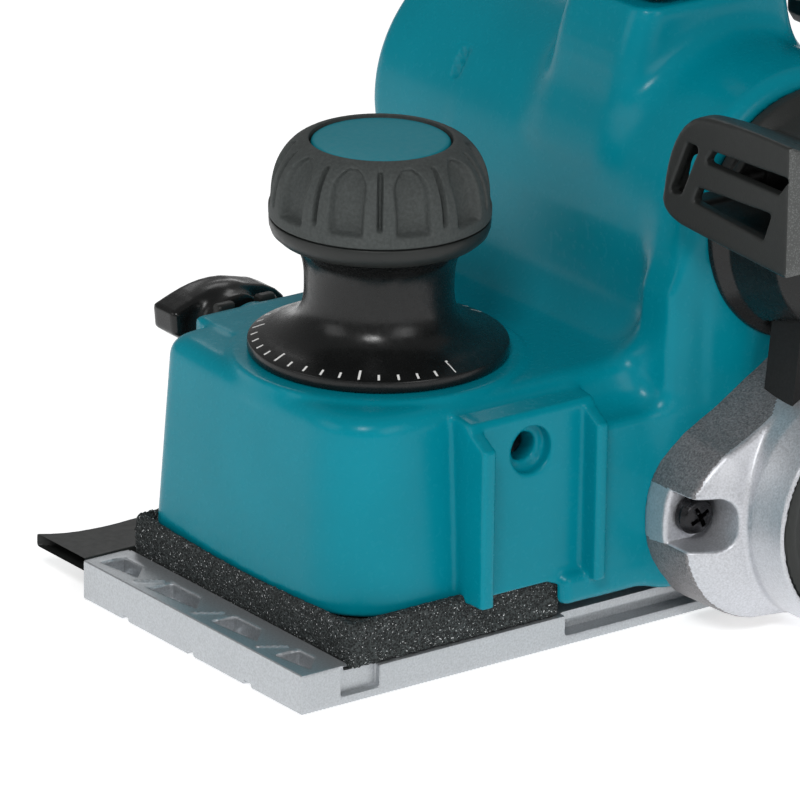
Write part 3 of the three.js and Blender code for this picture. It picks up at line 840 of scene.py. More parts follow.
class Finish(Enum):
    """Every finish on the planer."""

    TEAL = MouldedPlastic("teal_moulding", srgb(0, 129, 146), roughness=0.24, specular=0.14)
    CAP = MouldedPlastic("teal_cap", srgb(0, 124, 139), roughness=0.38, grain=0.02, specular=0.08)
    BLACK = MouldedPlastic(
        "black_moulding", srgb(36, 38, 37), roughness=0.40, grain=0.02, flow=0.1, specular=0.3
    )
    HOOD = MouldedPlastic("hood_black", srgb(38, 40, 39), roughness=0.46, grain=0.05, flow=0.08, specular=0.3)
    SATIN = MouldedPlastic(
        "dial_black", srgb(19, 20, 20), roughness=0.26, grain=0.008, flow=0.1, specular=0.34
    )
    SANDED = SandedPlastic("hood_sanded", srgb(74, 76, 75))
    GRIP = SoftGrip("knob_rubber", srgb(62, 66, 65))
    RUBBER = SoftGrip("plain_rubber", srgb(30, 30, 30), roughness=0.8)
    PRINT = MouldedPlastic("white_print", srgb(240, 240, 238), roughness=0.5, flow=0.02)
    SILVER = CastMetal("silver_casting", (0.57, 0.58, 0.61), roughness=0.44, grain=0.035)
    # Rougher-grained silver for the belt cover's side walls, its colour darkened as painted shade.
    SILVER_ROUGH = CastMetal(
        "silver_casting_rough_shaded", (0.25, 0.24, 0.245), roughness=0.55, grain=0.14, speckle=0.4
    )
    CAST = CastMetal("shoe_casting", (0.48, 0.50, 0.52), roughness=0.40, grain=0.05, grain_size=0.9)
    STEEL = CutMetal("turned_steel", (0.55, 0.56, 0.57))
    BLACK_STEEL = CutMetal("black_oxide", (0.035, 0.035, 0.037), roughness=0.30, lines=0.02)
    BLADE = CutMetal("ground_blade", (0.78, 0.80, 0.82), roughness=0.16, stretch=(1.0, 0.05, 1.0))
    FOAM = OpenFoam("open_foam", srgb(44, 48, 48))
    COPPER = Winding("copper_winding", (0.62, 0.30, 0.14))
    IRON = CutMetal("stacked_iron", (0.24, 0.25, 0.26), roughness=0.5, stretch=(0.02, 1.0, 0.02), lines=0.05)
    CARBON = SoftGrip("pressed_carbon", srgb(40, 40, 42), roughness=0.6)

    @property
    def material(self) -> bpy.types.Material:
        """The finish's material, made on first use."""
        return bpy.data.materials.get(self.value.name) or self.value.build()


# ---------------------------------------------------------------- placing pieces
def settle(piece: bpy.types.Object, body: str, slot: str, *nodes: str) -> bpy.types.Object:
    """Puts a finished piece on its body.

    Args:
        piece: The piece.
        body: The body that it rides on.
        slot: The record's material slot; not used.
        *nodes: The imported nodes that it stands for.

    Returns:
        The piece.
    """
    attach(piece, body)
    if nodes:
        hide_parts(*nodes)
    log.info("%s: %d faces on %s", piece.name, len(piece.data.polygons), body)
    return piece


def paint(piece: bpy.types.Object, *finishes: Finish, choose: Callable | None = None) -> None:
    """Gives a piece its finishes.

    Args:
        piece: The piece.
        *finishes: Its finishes; the first covers what the rule doesn't claim.
        choose: Takes a face's middle and normal in millimetres, and returns the finish's number.
    """
    for finish in finishes:
        piece.data.materials.append(finish.material)
    if choose is not None:
        for face in piece.data.polygons:
            face.material_index = choose(face.center / MM, face.normal)


def dress_node(node: str, finish: Finish) -> None:
    """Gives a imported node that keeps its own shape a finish.

    Args:
        node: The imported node.
        finish: Its finish.
    """
    for held in frame["nodes"][node].material_slots:
        held.link = "OBJECT"
        held.material = finish.material


def pivot(joint: str) -> Vector:
    """Where a joint's axis stands.

    Args:
        joint: Name of the joint.

    Returns:
        The place in millimetres.
    """
    found = next(j for j in frame["joints"] if j["name"] == joint)
    return Vector(found["pos_m"]) / MM


def soft_max(first: Array, second: Array, reach: float) -> Array:
    """The larger of two distances, with the corner between them rounded.

    Args:
        first: One distance.
        second: The other distance.
        reach: How far the rounding reaches.

    Returns:
        The joint distance.
    """
    near = np.maximum(reach - np.abs(first - second), 0) / reach
    return np.maximum(first, second) + near * near * reach / 4


@dataclass(frozen=True)
class Spot:
    """A place on a side face."""

    x: float
    z: float

    @property
    def at(self) -> Point:
        """The place as a pair."""
        return self.x, self.z


FENCE_HOLE = Spot(149.8, 47.6)
GUIDE_SCREW = Spot(164.0, 52.0)
FOOT_HINGE = Spot(-60.0, 4.7)
KNOB_SCREW = (160.7, 0.0)
BEARING_SEAT = 11.3
POST_TOP = 130.2


# ---------------------------------------------------------------- housing
@dataclass
class Housing:
    """The moulded body: front block, fence pad, drum housing, motor barrel, handle root and rear deck."""

    front: float = 195.8
    half: float = 37.4
    right_half: float = 38.6
    rim: float = 15.2
    deck: float = 59.6
    draft: float = 0.066
    crown: float = 0.00125
    side: float = 43.4
    inner: float = 41.4
    skirt: float = 11.5
    barrel: float = 32.0
    barrel_end: float = -77.0
    rear: float = -73.0
    knob: Vector = field(default_factory=lambda: pivot("knob_turn"))
    drum: Vector = field(default_factory=lambda: pivot("drum_spin"))
    motor: Vector = field(default_factory=lambda: pivot("motor_spin"))

    def front_block(self) -> Field:
        """The block under the depth knob, drafted, crowned at the front and soft along its top edge."""

        def distance(x: Array, y: Array, z: Array) -> Array:
            """Signed distance to the block, wall by wall."""
            lean = np.maximum(z - self.rim, 0) * self.draft
            front = x - self.front + self.crown * y * y + lean
            left = soft_max(y - self.half + lean, front, 17.0)
            right = -y - self.right_half + lean * 0.3
            wall = soft_max(left, right, 5.5)
            top = soft_max(wall, z - self.deck, 5.0)
            return soft_max(soft_max(top, self.rim - z, 1.2), 108 - x, 1.0)

        disc = rod(Axis.Z, (self.knob.x, self.knob.y), 32.0, self.deck - 5, self.deck + 0.7, 0.6)
        return blend(1.6, distance, disc)

    def pad(self) -> Field:
        """Flat pad with a counterbored hole, between two upright ribs with sloping tops."""
        rib = [(26, 15.8), (46.6, 15.8), (46.6, 51.9), (39.2, 56.2), (26, 57.6)]
        front = prism(Axis.X, rib, 163.2, 166.6, 0.7)
        rear = prism(Axis.X, rib, 132.9, 136.0, 0.7)
        face = prism(Axis.X, [(26, 16), (41.2, 16), (41.2, 55.3), (40.4, 56.4), (26, 57.6)], 133, 166, 0.3)
        return blend(0.9, face, front, rear)

    def drum_housing(self) -> Field:
        """The upright body over the drum, with the column at its left front corner and the skirt."""
        wall = [(42, self.skirt), (112.5, self.skirt), (112.0, 62), (109.6, 84), (104, 100), (58, 100),
                (42, 66)]
        body = prism(Axis.Y, wall, -self.side, 42.6, 2.2)
        post = [(92, self.skirt + 1), (113.6, self.skirt + 1), (113.6, 76), (104, 92), (92, 92)]
        column = prism(Axis.Y, post, 33.5, 43.2, 1.1, 0.8)
        seat = [(50, self.skirt + 2), (104, self.skirt + 2), (105.4, 46), (104.8, 82), (60, 88), (50, 60)]
        flange = prism(Axis.Y, seat, 30, 44.6, 1.0)
        skirt = blend(0.6, block((96, -self.side, self.skirt), (134.0, self.side, 50), 1.6),
                      block((96, -self.side, self.skirt), (141.2, self.side, 16.4), 1.2))
        return blend(2.2, blend(6.5, blend(7.5, body, column), skirt), flange)

    def barrel_shell(self) -> Field:
        """The motor barrel across the body, rounded at its right end."""
        r = self.barrel
        profile = [(0, self.barrel_end + 4), (r - 8, self.barrel_end + 4), (r - 4, self.barrel_end + 7),
                   (r - 4, self.side - 4), (0, self.side - 4)]
        return turned(Axis.Y, (self.motor.x, self.motor.z), profile, 4.0)

    def handle_root(self) -> Field:
        """The post that the handle stands on, flaring into the barrel."""
        front = bend((105.2, 106.5), (106.2, 114), (105.2, 122), (99.6, 131.5), 8)
        outline = [*front, (97, 133), (60, 133), (56, 106.5)]
        post = prism(Axis.Y, outline, -14.6, 14.6, 5.5)
        lid = block((40, -40, 80), (130, 40, POST_TOP), 0.3)
        return common(0.4, post, lid)

    def shoulder(self) -> Field:
        """The soft swell round the foot of the post."""
        front = bend((106.2, 98), (106.6, 108), (105.0, 120), (99.0, 134.5), 8)
        return prism(Axis.Y, [*front, (60, 134.5), (56, 98)], -15.0, 14.2, 6.5, -0.5)

    def slit(self) -> Field:
        """The short narrow pocket moulded into the front of the barrel."""
        at = (self.motor.x, self.motor.z)
        floor, mouth = self.barrel - 1.1, self.barrel + 4
        return prism(Axis.Y, [*arc(at, floor, 21, 35, 4), *arc(at, mouth, 35, 21, 4)], -45.3, -43.3, 0.2)

    def rear_deck(self) -> Field:
        """The low deck over the rear sole, rising towards the barrel."""
        outline = [(64, 11.4), (-71.0, 11.4), (-71.0, 42), (-67.5, 44.0), (30, 50), (64, 56)]
        return prism(Axis.Y, outline, -39, 39, 3.2, 0.0)

    def outside(self) -> Field:
        """Everything joined, as seen from outside."""
        drum = blend(5.0, self.drum_housing(), self.barrel_shell())
        deck = blend(7.0, drum, self.rear_deck())
        block_and_body = blend(11.0, deck, self.front_block())
        clamp = block((147.6, -41.0, 42), (180.5, -26, 59.9), 1.0)
        guide = rod(Axis.Y, GUIDE_SCREW.at, 7.2, -43.5, -28, 0.6)
        fitted = blend(1.2, block_and_body, self.pad(), clamp, guide)
        lid = block((-100, -100, -50), (300, 100, POST_TOP), 0.3)
        return common(0.3, blend(2.2, blend(9.0, fitted, self.shoulder()), self.handle_root()), lid)

    def rooms(self) -> Field:
        """The hollows for the drum, motor, knob, shoe, screws and chips."""
        drum_at, motor_at = (self.drum.x, self.drum.z), (self.motor.x, self.motor.z)
        return blend(
            0,
            rod(Axis.Y, drum_at, 30.4, -self.inner, self.inner),
            block((52, -self.inner, -5), (122, self.inner, 22), 0.5),
            block((118, -34, -20), (185, 32.5, 56), 10),
            block((100, -self.inner, -5), (145, self.inner, self.rim), 0.3),
            rod(Axis.Y, motor_at, 29, self.barrel_end + 3, 41.5),
            rod(Axis.Y, motor_at, 27.2, 38, 60, 0.3),
            rod(Axis.Y, motor_at, 5, self.barrel_end - 5, self.barrel_end + 5, 0.3),
            rod(Axis.Z, (self.knob.x, self.knob.y), 7.9, 40, 70, 0.2),
            block((67, -9, 108), (94, 9, 140), 3),
            block((-62, -29.5, -5), (42, 29.5, 38), 2),
            block((95, -70, 41), (113, 37.4, 56.5), 3),
            rod(Axis.Y, GUIDE_SCREW.at, 3, -50, -20, 0.2),
            rod(Axis.Y, drum_at, BEARING_SEAT, 30, 60, 0.2),
            rod(Axis.Y, drum_at, BEARING_SEAT, -60, -30, 0.2),
        )

    def counterbore(self) -> Field:
        """The stepped hole in the pad."""
        at = FENCE_HOLE.at
        return blend(0, rod(Axis.Y, at, 5.4, 38.1, 60, 0.3), rod(Axis.Y, at, 3.3, 20, 60, 0.1))

    def build(self) -> bpy.types.Object:
        """Makes the housing.

        Returns:
            The piece.
        """
        brush = [rod(Axis.Z, (self.motor.x, -58), 6.3, 40, 140, 0.2)]
        shell = carve(0.7, self.outside(), self.rooms(), self.counterbore())
        shell = carve(0.2, shell, self.slit())
        bearing_left = carve(0, rod(Axis.Y, (self.drum.x, self.drum.z), 14.5, 41.5, 48, 0.4),
                             rod(Axis.Y, (self.drum.x, self.drum.z), BEARING_SEAT, 30, 60, 0.2))
        bearing_right = carve(0, rod(Axis.Y, (self.motor.x, self.motor.z), 12.5, -75, -67, 0.3),
                              rod(Axis.Y, (self.motor.x, self.motor.z), 9.8, -74, -60, 0.2))
        whole = blend(0, shell, bearing_left, bearing_right)
        whole = carve(0, whole, *brush)
        xs = stations((-76, 40, 2.6), (40, 92, 1.5), (92, 128, 0.9), (128, 169, 0.7), (169, 190, 1.2),
                      (190, 199, 0.6))
        ys = stations((-80, -30, 1.6), (-30, 28, 1.4), (28, 50, 0.65))
        zs = stations((8, 20, 0.7), (20, 48, 1.2), (48, 63, 0.6), (63, 104, 1.2), (104, 131, 1.0))
        piece = skinned("housing_shell", whole, xs, ys, zs)
        paint(piece, Finish.TEAL)
        return settle(piece, BODY, "teal_housing", "main_housing")


# ---------------------------------------------------------------- handle
@dataclass
class Handle:
    """The closed handle: two clamshell halves, soft cover, trigger, lock button and screws."""

    half: float = 16.0
    seam: float = 0.15

    def loop(self) -> list[Point]:
        """Side outline of the handle, drawn 5 mm inside its surface."""
        return [
            (65, 135.6), (94, 135.6), *bend((95.5, 138), (96.5, 144), (92, 149.5), (84, 150.4), 6),
            *bend((80, 151), (46, 155), (-10, 151), (-45, 135.5), 12)[1:],
            *bend((-50, 133), (-63, 124), (-68, 110), (-68, 90), 8)[1:],
            (-68, 51.6), (-51, 52.6), (-51, 88),
            *bend((-51, 92), (-49, 110), (-38, 118), (-26, 121.4), 8)[1:],
            *bend((-22, 122.4), (2, 129), (30, 131), (54, 128.4), 8)[1:],
        ]

    def halves(self) -> None:
        """Makes both halves, with the trigger room, the gland seat and screw holes."""
        outline = self.loop()
        body = prism(Axis.Y, outline, -self.half, self.half, 7.0, 5.0)
        rooms = blend(
            0,
            block((21.5, -7, 100), (45.5, 7, 139.2), 0.4),
            block((18, -8.3, 139), (56, 8.3, 152.6), 0.5),
            rod(Axis.X, (0, 60), 7.3, -80, -66, 0.3),
        )
        for side, name in ((1, "handle_left"), (-1, "handle_right")):
            spots = [rod(Axis.Y, (x, z), 4.3, *sorted((side * 12.6, side * 22)), 0.3)
                     for x, z in ((90, 137), (-30, 132), (-60, 76)) if side > 0]
            button = [rod(Axis.Y, (64, 143), 5.3, 8, 22, 0.3)] if side > 0 else []
            keep = block(*self.keep(side), 0.2)
            shell = carve(0.5, common(0.5, body, keep), rooms, *spots, *button)
            xs = stations((-76, 102, 1.6))
            ys = stations((-0.5, 17, 1.0)) if side > 0 else stations((-17, 0.5, 1.0))
            piece = skinned(f"{name}_shell", shell, xs, ys, stations((45, 159, 1.5)))
            paint(piece, Finish.TEAL)
            settle(piece, BODY, "teal_housing", name)

    def keep(self, side: int) -> tuple[tuple, tuple]:
        """The box on one side of the seam, which holds one half of the handle.

        Args:
            side: 1 for the left half and -1 for the right.

        Returns:
            The box's lowest and highest corners.
        """
        low, high = sorted((side * self.seam, side * 40))
        return (-90, low, 0), (130, high, 200)

    def grip(self) -> None:
        """Soft cover over the top of the handle, with shallow cross grooves."""
        top = bend((82, 156.4), (50, 161.2), (-10, 157.2), (-45, 141.8), 14)
        low = [(x, z - 0.6) for x, z in top]
        strip = prism(Axis.Y, [*[(x, z + 0.6) for x, z in top], *reversed(low)], -9.4, 9.4, 0.9, 1.1)
        grooves = [rod(Axis.Y, (x, z + 2.3), 0.8, -20, 20) for x, z in bend((62, 158.6), (36, 161), (0, 159),
                                                                            (-30, 149), 13)]
        piece = skinned("grip_cover_soft", carve(0.3, strip, *grooves), stations((-50, 87, 0.9)),
                        stations((-12, 12, 0.8)), stations((137, 164, 0.6)))
        paint(piece, Finish.GRIP)
        settle(piece, BODY, "soft_grip", "grip_cover")

    def trigger(self) -> None:
        """The trigger, with its finger hollow."""
        hollow = bend((23.5, 115.5), (28, 116), (38, 119.5), (42.6, 113.4), 8)
        outline = [(23, 130), (23, 117), *hollow, (44, 115.5), (44, 130)]
        lever = prism(Axis.Y, outline, -6.5, 6.5, 1.8, 0.9)
        piece = skinned("trigger_lever", lever, stations((21, 46, 0.6)), stations((-7.5, 7.5, 0.6)),
                        stations((110, 132.5, 0.6)))
        paint(piece, Finish.BLACK)
        settle(piece, "trigger", "black_plastic", "trigger")

    def button(self) -> None:
        """The lock button, slightly domed."""
        shape = turned(Axis.Y, (64, 143), [(0, 12.6), (4.3, 12.6), (4.3, 17.6), (3, 18.3), (0, 18.5)], 0.6)
        piece = skinned("lock_button_cap", shape, stations((58, 70, 0.45)), stations((11, 20, 0.4)),
                        stations((137, 149, 0.45)))
        paint(piece, Finish.BLACK)
        settle(piece, "lock", "black_plastic", "lock_button")

    def gland(self) -> None:
        """The rubber inlet for the cord."""
        middle = (0, 60)
        collar = rod(Axis.X, middle, 9, -76.5, -73.3, 0.7)
        sleeve = blend(0.8, rod(Axis.X, middle, 7, -78, -66.4, 0.6), collar)
        ring = carve(0.5, sleeve, rod(Axis.X, middle, 3.8, -82, -69, 0.3))
        piece = skinned("cord_inlet_sleeve", ring, stations((-80, -65, 0.5)), stations((-10, 10, 0.6)),
                        stations((50, 70, 0.6)))
        paint(piece, Finish.RUBBER)
        settle(piece, BODY, "rubber", "cord_inlet")

    def build(self) -> None:
        """Makes every piece of the handle."""
        self.halves()
        self.grip()
        self.trigger()
        self.button()
        self.gland()
        for number in (1, 2, 3):
            dress_node(f"handle_screw_{number}", Finish.STEEL)
        dress_node("switch_body", Finish.BLACK)


# ---------------------------------------------------------------- depth knob
@dataclass
class DepthKnob:
    """The front knob: printed dial, fluted rubber grip and teal cap."""

    axis: Vector = field(default_factory=lambda: pivot("knob_turn"))
    base: float = 60.65
    rim: float = 28.5
    top: float = 109.0
    flutes: int = 10
    slit_at: float = 53.5
    mark_step: float = 9.0

    @property
    def centre(self) -> Point:
        """Where the knob stands."""
        return self.axis.x, self.axis.y

    def dial_outline(self) -> list[Point]:
        """Radius and height of the dial, from its rim up the waisted neck."""
        b = self.base
        cone = bend((25.6, b + 3.75), (18.4, b + 5.9), (16.3, b + 8.6), (16.3, b + 14.5), 22)
        neck = bend((16.3, b + 14.5), (16.3, b + 21), (17.0, b + 23.6), (20.4, b + 25.6), 10)
        rim = [(27.9, b), (28.3, b + 0.25), (28.5, b + 0.7), (28.5, b + 2.3), (28.38, b + 2.58),
               (28.1, b + 2.72), (27.1, b + 3.1)]
        foot = [(3.3, b - 8), (7.3, b - 8), (7.6, b - 7.7), (7.6, b)]
        return [*foot, *rim, *cone, *neck[1:], (12.0, b + 25.8), (12.0, b + 40), (3.3, b + 40)]

    def dial(self) -> None:
        """The dial and its neck."""
        piece = lathe("depth_dial", self.centre, self.dial_outline(), 180)
        paint(piece, Finish.SATIN)
        settle(piece, "knob", "black_plastic", "knob_dial")

    def cone_height(self, radius: float) -> float:
        """Height of the dial's cone.

        Args:
            radius: Distance from the knob's axis in millimetres.

        Returns:
            The height in millimetres.
        """
        profile = sorted(self.dial_outline()[8:33])
        rs, zs = zip(*[(r, z) for r, z in profile if z > self.base + 2.4])
        return float(np.interp(radius, rs, zs))

    def marks(self) -> None:
        """The printed scale: a long mark every fifth step, and a pointed one with a dot at the end."""
        points: list[tuple] = []
        faces: list[list[int]] = []

        def stroke(angle: float, inner: float, outer: float, width: float) -> None:
            """Adds one printed line, as a thin slab on the cone.

            Args:
                angle: Where the line stands, in degrees.
                inner: Radius that it starts at.
                outer: Radius that it ends at.
                width: Width of the line.
            """
            first = len(points)
            steps = np.linspace(inner, outer, 5)
            for r in steps:
                for side in (-1, 1):
                    a = math.radians(angle) + side * width / 2 / r
                    for lift in (-0.12, 0.045):
                        points.append((self.axis.x + r * math.cos(a), self.axis.y + r * math.sin(a),
                                       self.cone_height(r) + lift))
            for i in range(4):
                a = first + 4 * i
                b = a + 4
                faces.extend([[a + 1, a + 3, b + 3, b + 1], [a, b, b + 2, a + 2], [a, a + 1, b + 1, b],
                              [a + 2, b + 2, b + 3, a + 3]])
            last = first + 16
            faces.extend([[first, first + 2, first + 3, first + 1], [last, last + 1, last + 3, last + 2]])

        for i in range(30):
            long = i % 5 == 4
            stroke(90 - self.mark_step * (i + 1), 25.0 if long else 26.2, 27.7, 0.5)
        stroke(90.6, 24.0, 27.7, 0.26)
        stroke(91.0, 23.9, 24.3, 0.5)
        piece = mesh_object("dial_marks", points, faces, 30)
        paint(piece, Finish.PRINT)
        settle(piece, "knob", "black_plastic")

    def sunk(self, turn: Array, height: Array, radius: Array) -> Array:
        """How far the grip's surface is sunk by its flutes, slits and parting groove.

        Args:
            turn: Angle round the knob in radians.
            height: Height in millimetres.
            radius: Plain radius of the grip there.

        Returns:
            The depth in millimetres.
        """
        pitch = 2 * np.pi / self.flutes
        slit = math.radians(self.slit_at)
        to_slit = np.abs((turn - slit + pitch / 2) % pitch - pitch / 2) * radius
        to_flute = np.abs((turn - slit + pitch) % pitch - pitch / 2) * radius
        outer = radius > 16.5

        def step(value: Array, soft: float) -> Array:
            """Rises softly from 0 to 1 as a value passes 0."""
            return 1 / (1 + np.exp(-value / soft))

        width = 3.75 - np.maximum(height - 103.6, 0) ** 2 * 0.16
        flute = 2.5 * step(width - to_flute, 0.16) * step(height - 94.6, 0.14) * step(107.4 - height, 0.3)
        dished = flute * (1 - 0.25 * np.minimum(to_flute / 3.75, 1) ** 2)
        slot = 1.9 * step(0.5 - to_slit, 0.07) * step(height - 95.8, 0.16) * step(107.2 - height, 0.25)
        return np.where(outer & (height > 93), dished + slot, 0)

    def grip(self) -> None:
        """The rubber grip over a hard ring, with a fine groove between them."""
        top = self.top
        ring = [(20.3, 86.4), (22.2, 87.0), (23.5, 88.2), (24.0, 89.6), (24.1, 91.1), (23.95, 91.35),
                (23.3, 91.45), (23.3, 91.75), (24.0, 91.85), (24.15, 92.1)]
        side = bend((24.15, 92.1), (24.35, 97.5), (23.6, 101.5), (21.6, 104.6), 58)
        dome = bend((21.6, 104.6), (20.4, 106.6), (18.8, 108.1), (16.4, 108.9), 26)
        mouth = [(15.9, 109.0), (15.62, 108.8), (15.6, 105.0), (12.3, 105.0)]
        rings = [(12.3, 86.4), *ring, *side[1:], *dome[1:], *mouth]
        rings = [(r, min(z, top)) for r, z in rings]
        piece = lathe("depth_grip", self.centre, rings, 720, self.sunk, 50)
        paint(piece, Finish.GRIP, Finish.BLACK, choose=lambda at, normal: int(at.z < 91.5))
        settle(piece, "knob", "soft_grip", "knob_grip")

    def cap(self) -> None:
        """The teal cap, set just below the grip's lip and gently dished at its edge."""
        t = self.top
        rings = [(0.01, t - 3.6), (15.0, t - 3.6), (15.15, t - 1.2), (15.0, t - 0.75), (14.6, t - 0.5),
                 (13.9, t - 0.46), (13.2, t - 0.4), (9, t - 0.22), (4, t - 0.16), (0.01, t - 0.15)]
        piece = lathe("depth_cap", self.centre, rings, 128, None, 40)
        paint(piece, Finish.CAP)
        settle(piece, "knob", "teal_housing", "knob_cap")

    def build(self) -> None:
        """Makes every piece of the knob."""
        self.dial()
        self.marks()
        self.grip()
        self.cap()
        dress_node("depth_screw", Finish.STEEL)


# ---------------------------------------------------------------- sole
@dataclass
class Sole:
    """The sliding front shoe, the rear sole and the foam between shoe and housing."""

    front: float = 210.0
    strip: float = 12.3
    thick: float = 9.0
    seat: float = 7.0
    half: float = 41.0

    def pocket(self, low: float, high: float) -> Field:
        """One cast pocket of the front strip: a three-cornered hollow with its point to the rear.

        Args:
            low: Its end on the right.
            high: Its end on the left.

        Returns:
            The hollow.
        """
        x1, x0 = self.front - 2.6, self.front - 8.4
        corners_at = [(x1, low), (x0, low + 0.6), (x0 - 0.2, high - 4.6), (x1 - 1.6, high)]
        return prism(Axis.Z, corners_at, 5.2, 14, 0.4)

    def bar(self, place: float) -> Field:
        """A short raised bar across the strip, between two pockets.

        Args:
            place: Middle of the bar across the shoe.

        Returns:
            The bar.
        """
        line = [(self.front - 7.6, place + 1.9), (self.front - 1.9, place - 1.9),
                (self.front - 1.7, place - 1.1), (self.front - 7.4, place + 2.7)]
        return prism(Axis.Z, line, self.thick - 1, self.thick + 0.35, 0.2)

    def shoe(self) -> None:
        """The shoe: cast strip in front, machined seat behind, side recess, edge channels and V groove."""
        step = self.front - self.strip
        outline = [(96.5, 0), (self.front, 0), (self.front, self.thick), (step, self.thick),
                   (step, self.seat), (105.0, self.seat)]
        plate = prism(Axis.Y, outline, -self.half, self.half, 0.35)
        column = rod(Axis.Z, KNOB_SCREW, 9.5, 5, 40)
        pockets = [self.pocket(*ends) for ends in ((-37.9, -26.2), (-19.4, -4.0), (4.0, 18.6), (27.6, 38.2))]
        bars = [self.bar(place) for place in (-22.8, -0.2, 23.3)]
        groove = prism(Axis.X, [(-1.5, -0.2), (1.5, -0.2), (0, 1.4)], 110, 212, 0.1)
        sides = []
        for side in (-1, 1):
            y0, y1 = sorted((side * self.half, side * (self.half - 1.2)))
            sides.append(block((189.3, y0 - 0.6, 2.0), (199.6, y1 + 0.6, 8.6), 0.35))
            for deep, low, high in ((4.0, 2.2, 4.9), (2.2, 4.6, 12)):
                near, far = sorted((side * (self.half + 2), side * (self.half - deep)))
                sides.append(block((90, near, low), (139.5, far, high), 0.3))
        notches = [block((208.8, y - 1.2, -1), (212, y + 1.2, 1.0), 0.3) for y in (-25, 21)]
        bore = rod(Axis.Z, KNOB_SCREW, 5.3, 10, 50, 0.1)
        solid = blend(0.3, carve(0.6, blend(1.5, plate, column), *pockets), *bars)
        solid = carve(0.3, solid, *sides, *notches)
        solid = carve(0.1, solid, groove, bore)
        xs = stations((94, 108, 0.8), (108, 188, 2.0), (188, 211.2, 0.42))
        ys = stations((-42, -34, 0.6), (-34, 34, 0.75), (34, 42, 0.45))
        piece = skinned("front_shoe", solid, xs, ys, stations((-1, 10.4, 0.42), (10.4, 41, 1.6)), 32)
        paint(piece, Finish.CAST)
        settle(piece, "shoe", "cast_aluminium", "front_base")

    def foam(self) -> None:
        """The foam seal: a rough open-cell ring that bulges out round the housing's rim."""
        front, back, wide = self.front - self.strip - 0.3, 141.0, self.half - 0.3

        def outside(x: Array, y: Array, z: Array) -> Array:
            """Outer wall of the ring, with a little swell."""
            swell = 0.5 * np.sin(np.clip((z - 7.3) / 10, 0, 1) * np.pi)
            side = np.abs(y) - wide - 0.25 + 0.5 - swell * 0.5
            nose = x - front + 0.3 - swell * 0.4
            wall = soft_max(side, nose, 2.4)
            return soft_max(wall, back - x, 0.8)

        def height(x: Array, y: Array, z: Array) -> Array:
            """Top and bottom: the seal stands higher outside the rim than under it."""
            lean = np.maximum(np.maximum(y - 37.6, -y - 38.9), x - 196.0 + 0.00125 * y * y)
            top = 14.9 + 2.5 / (1 + np.exp(-(lean - 0.2) / 0.25))
            return np.maximum(z - top, 7.15 - z)

        def grit(x: Array, y: Array, z: Array) -> Array:
            """Coarse unevenness of the cut foam."""
            wave = np.sin(x * 3.7 + np.sin(y * 2.3) * 1.7)
            a = wave * np.sin(y * 3.3 + z * 1.9) * np.sin(z * 4.1 + x * 1.3)
            b = np.sin(x * 7.7 + z * 2.1) * np.sin(y * 8.3 + x * 1.1) * np.sin(z * 7.1 + y * 2.7)
            return 0.2 * a + 0.2 * b

        hollow = block((130, -31.2, 0), (184, 31.2, 30), 3)

        def ring(x: Array, y: Array, z: Array) -> Array:
            """The whole seal, with the housing's room taken out of it."""
            body = soft_max(outside(x, y, z), height(x, y, z), 0.9)
            return soft_max(body, -hollow(x, y, z), 0.5) + grit(x, y, z)

        piece = skinned("foam_ring", ring, stations((139.5, 199.5, 0.6)), stations((-43, 43, 0.6)),
                        stations((6.2, 19.2, 0.5)))
        paint(piece, Finish.FOAM)
        settle(piece, BODY, "foam", "foam_seal")
        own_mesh(piece)

    def rear(self) -> None:
        """The rear sole: machined plate with a foot slot and screw seats."""
        outline = [(-75, 0), (73.5, 0), (58, self.thick), (-75, self.thick)]
        plate = prism(Axis.Y, outline, -self.half, self.half, 0.35)
        pocket = block((-20, -30, 4.5), (30, 30, 12), 1.0)
        slot = block((-78, -9, -2), (-56, 9, 12), 0.6)
        seats = [blend(0, rod(Axis.Z, (x, y), 2.8, -2, 20, 0.1), rod(Axis.Z, (x, y), 5.4, -2, 3.4, 0.2))
                 for x in (44, -66) for y in (-34.2, 34.2)]
        pin = rod(Axis.Y, FOOT_HINGE.at, 1.5, -14, 14, 0.1)
        solid = carve(0.2, plate, pocket, slot, pin, *seats)
        xs = stations((-76, -50, 0.8), (-50, 36, 2.2), (36, 75, 0.9))
        piece = skinned("rear_sole", solid, xs, stations((-42, -28, 0.7), (-28, 28, 1.3), (28, 42, 0.7)),
                        stations((-1, 10, 0.5)), 32)
        paint(piece, Finish.CAST)
        settle(piece, BODY, "cast_aluminium", "rear_base")

    def foot(self) -> None:
        """The parking foot in the rear sole."""
        flap = blend(0.8, rod(Axis.Y, FOOT_HINGE.at, 3.6, -8.6, 8.6, 0.5),
                     prism(Axis.Y, [(-73, 1.9), (-60, 1.9), (-60, 7.4), (-73, 7.4)], -8.6, 8.6, 0.8, 0.8))
        shape = carve(0.1, flap, rod(Axis.Y, FOOT_HINGE.at, 1.5, -12, 12, 0.1))
        piece = skinned("parking_foot", shape, stations((-75, -55, 0.55)), stations((-9.4, 9.4, 0.6)),
                        stations((0.2, 9.4, 0.5)), 40)
        paint(piece, Finish.BLACK)
        settle(piece, "foot", "black_plastic", "rear_foot")

    def build(self) -> None:
        """Makes every piece of the sole."""
        self.shoe()
        self.foam()
        self.rear()
        self.foot()
        dress_node("foot_pin", Finish.STEEL)
        dress_node("base_spring", Finish.STEEL)
        for number in (1, 2, 3, 4):
            dress_node(f"base_screw_{number}", Finish.STEEL)


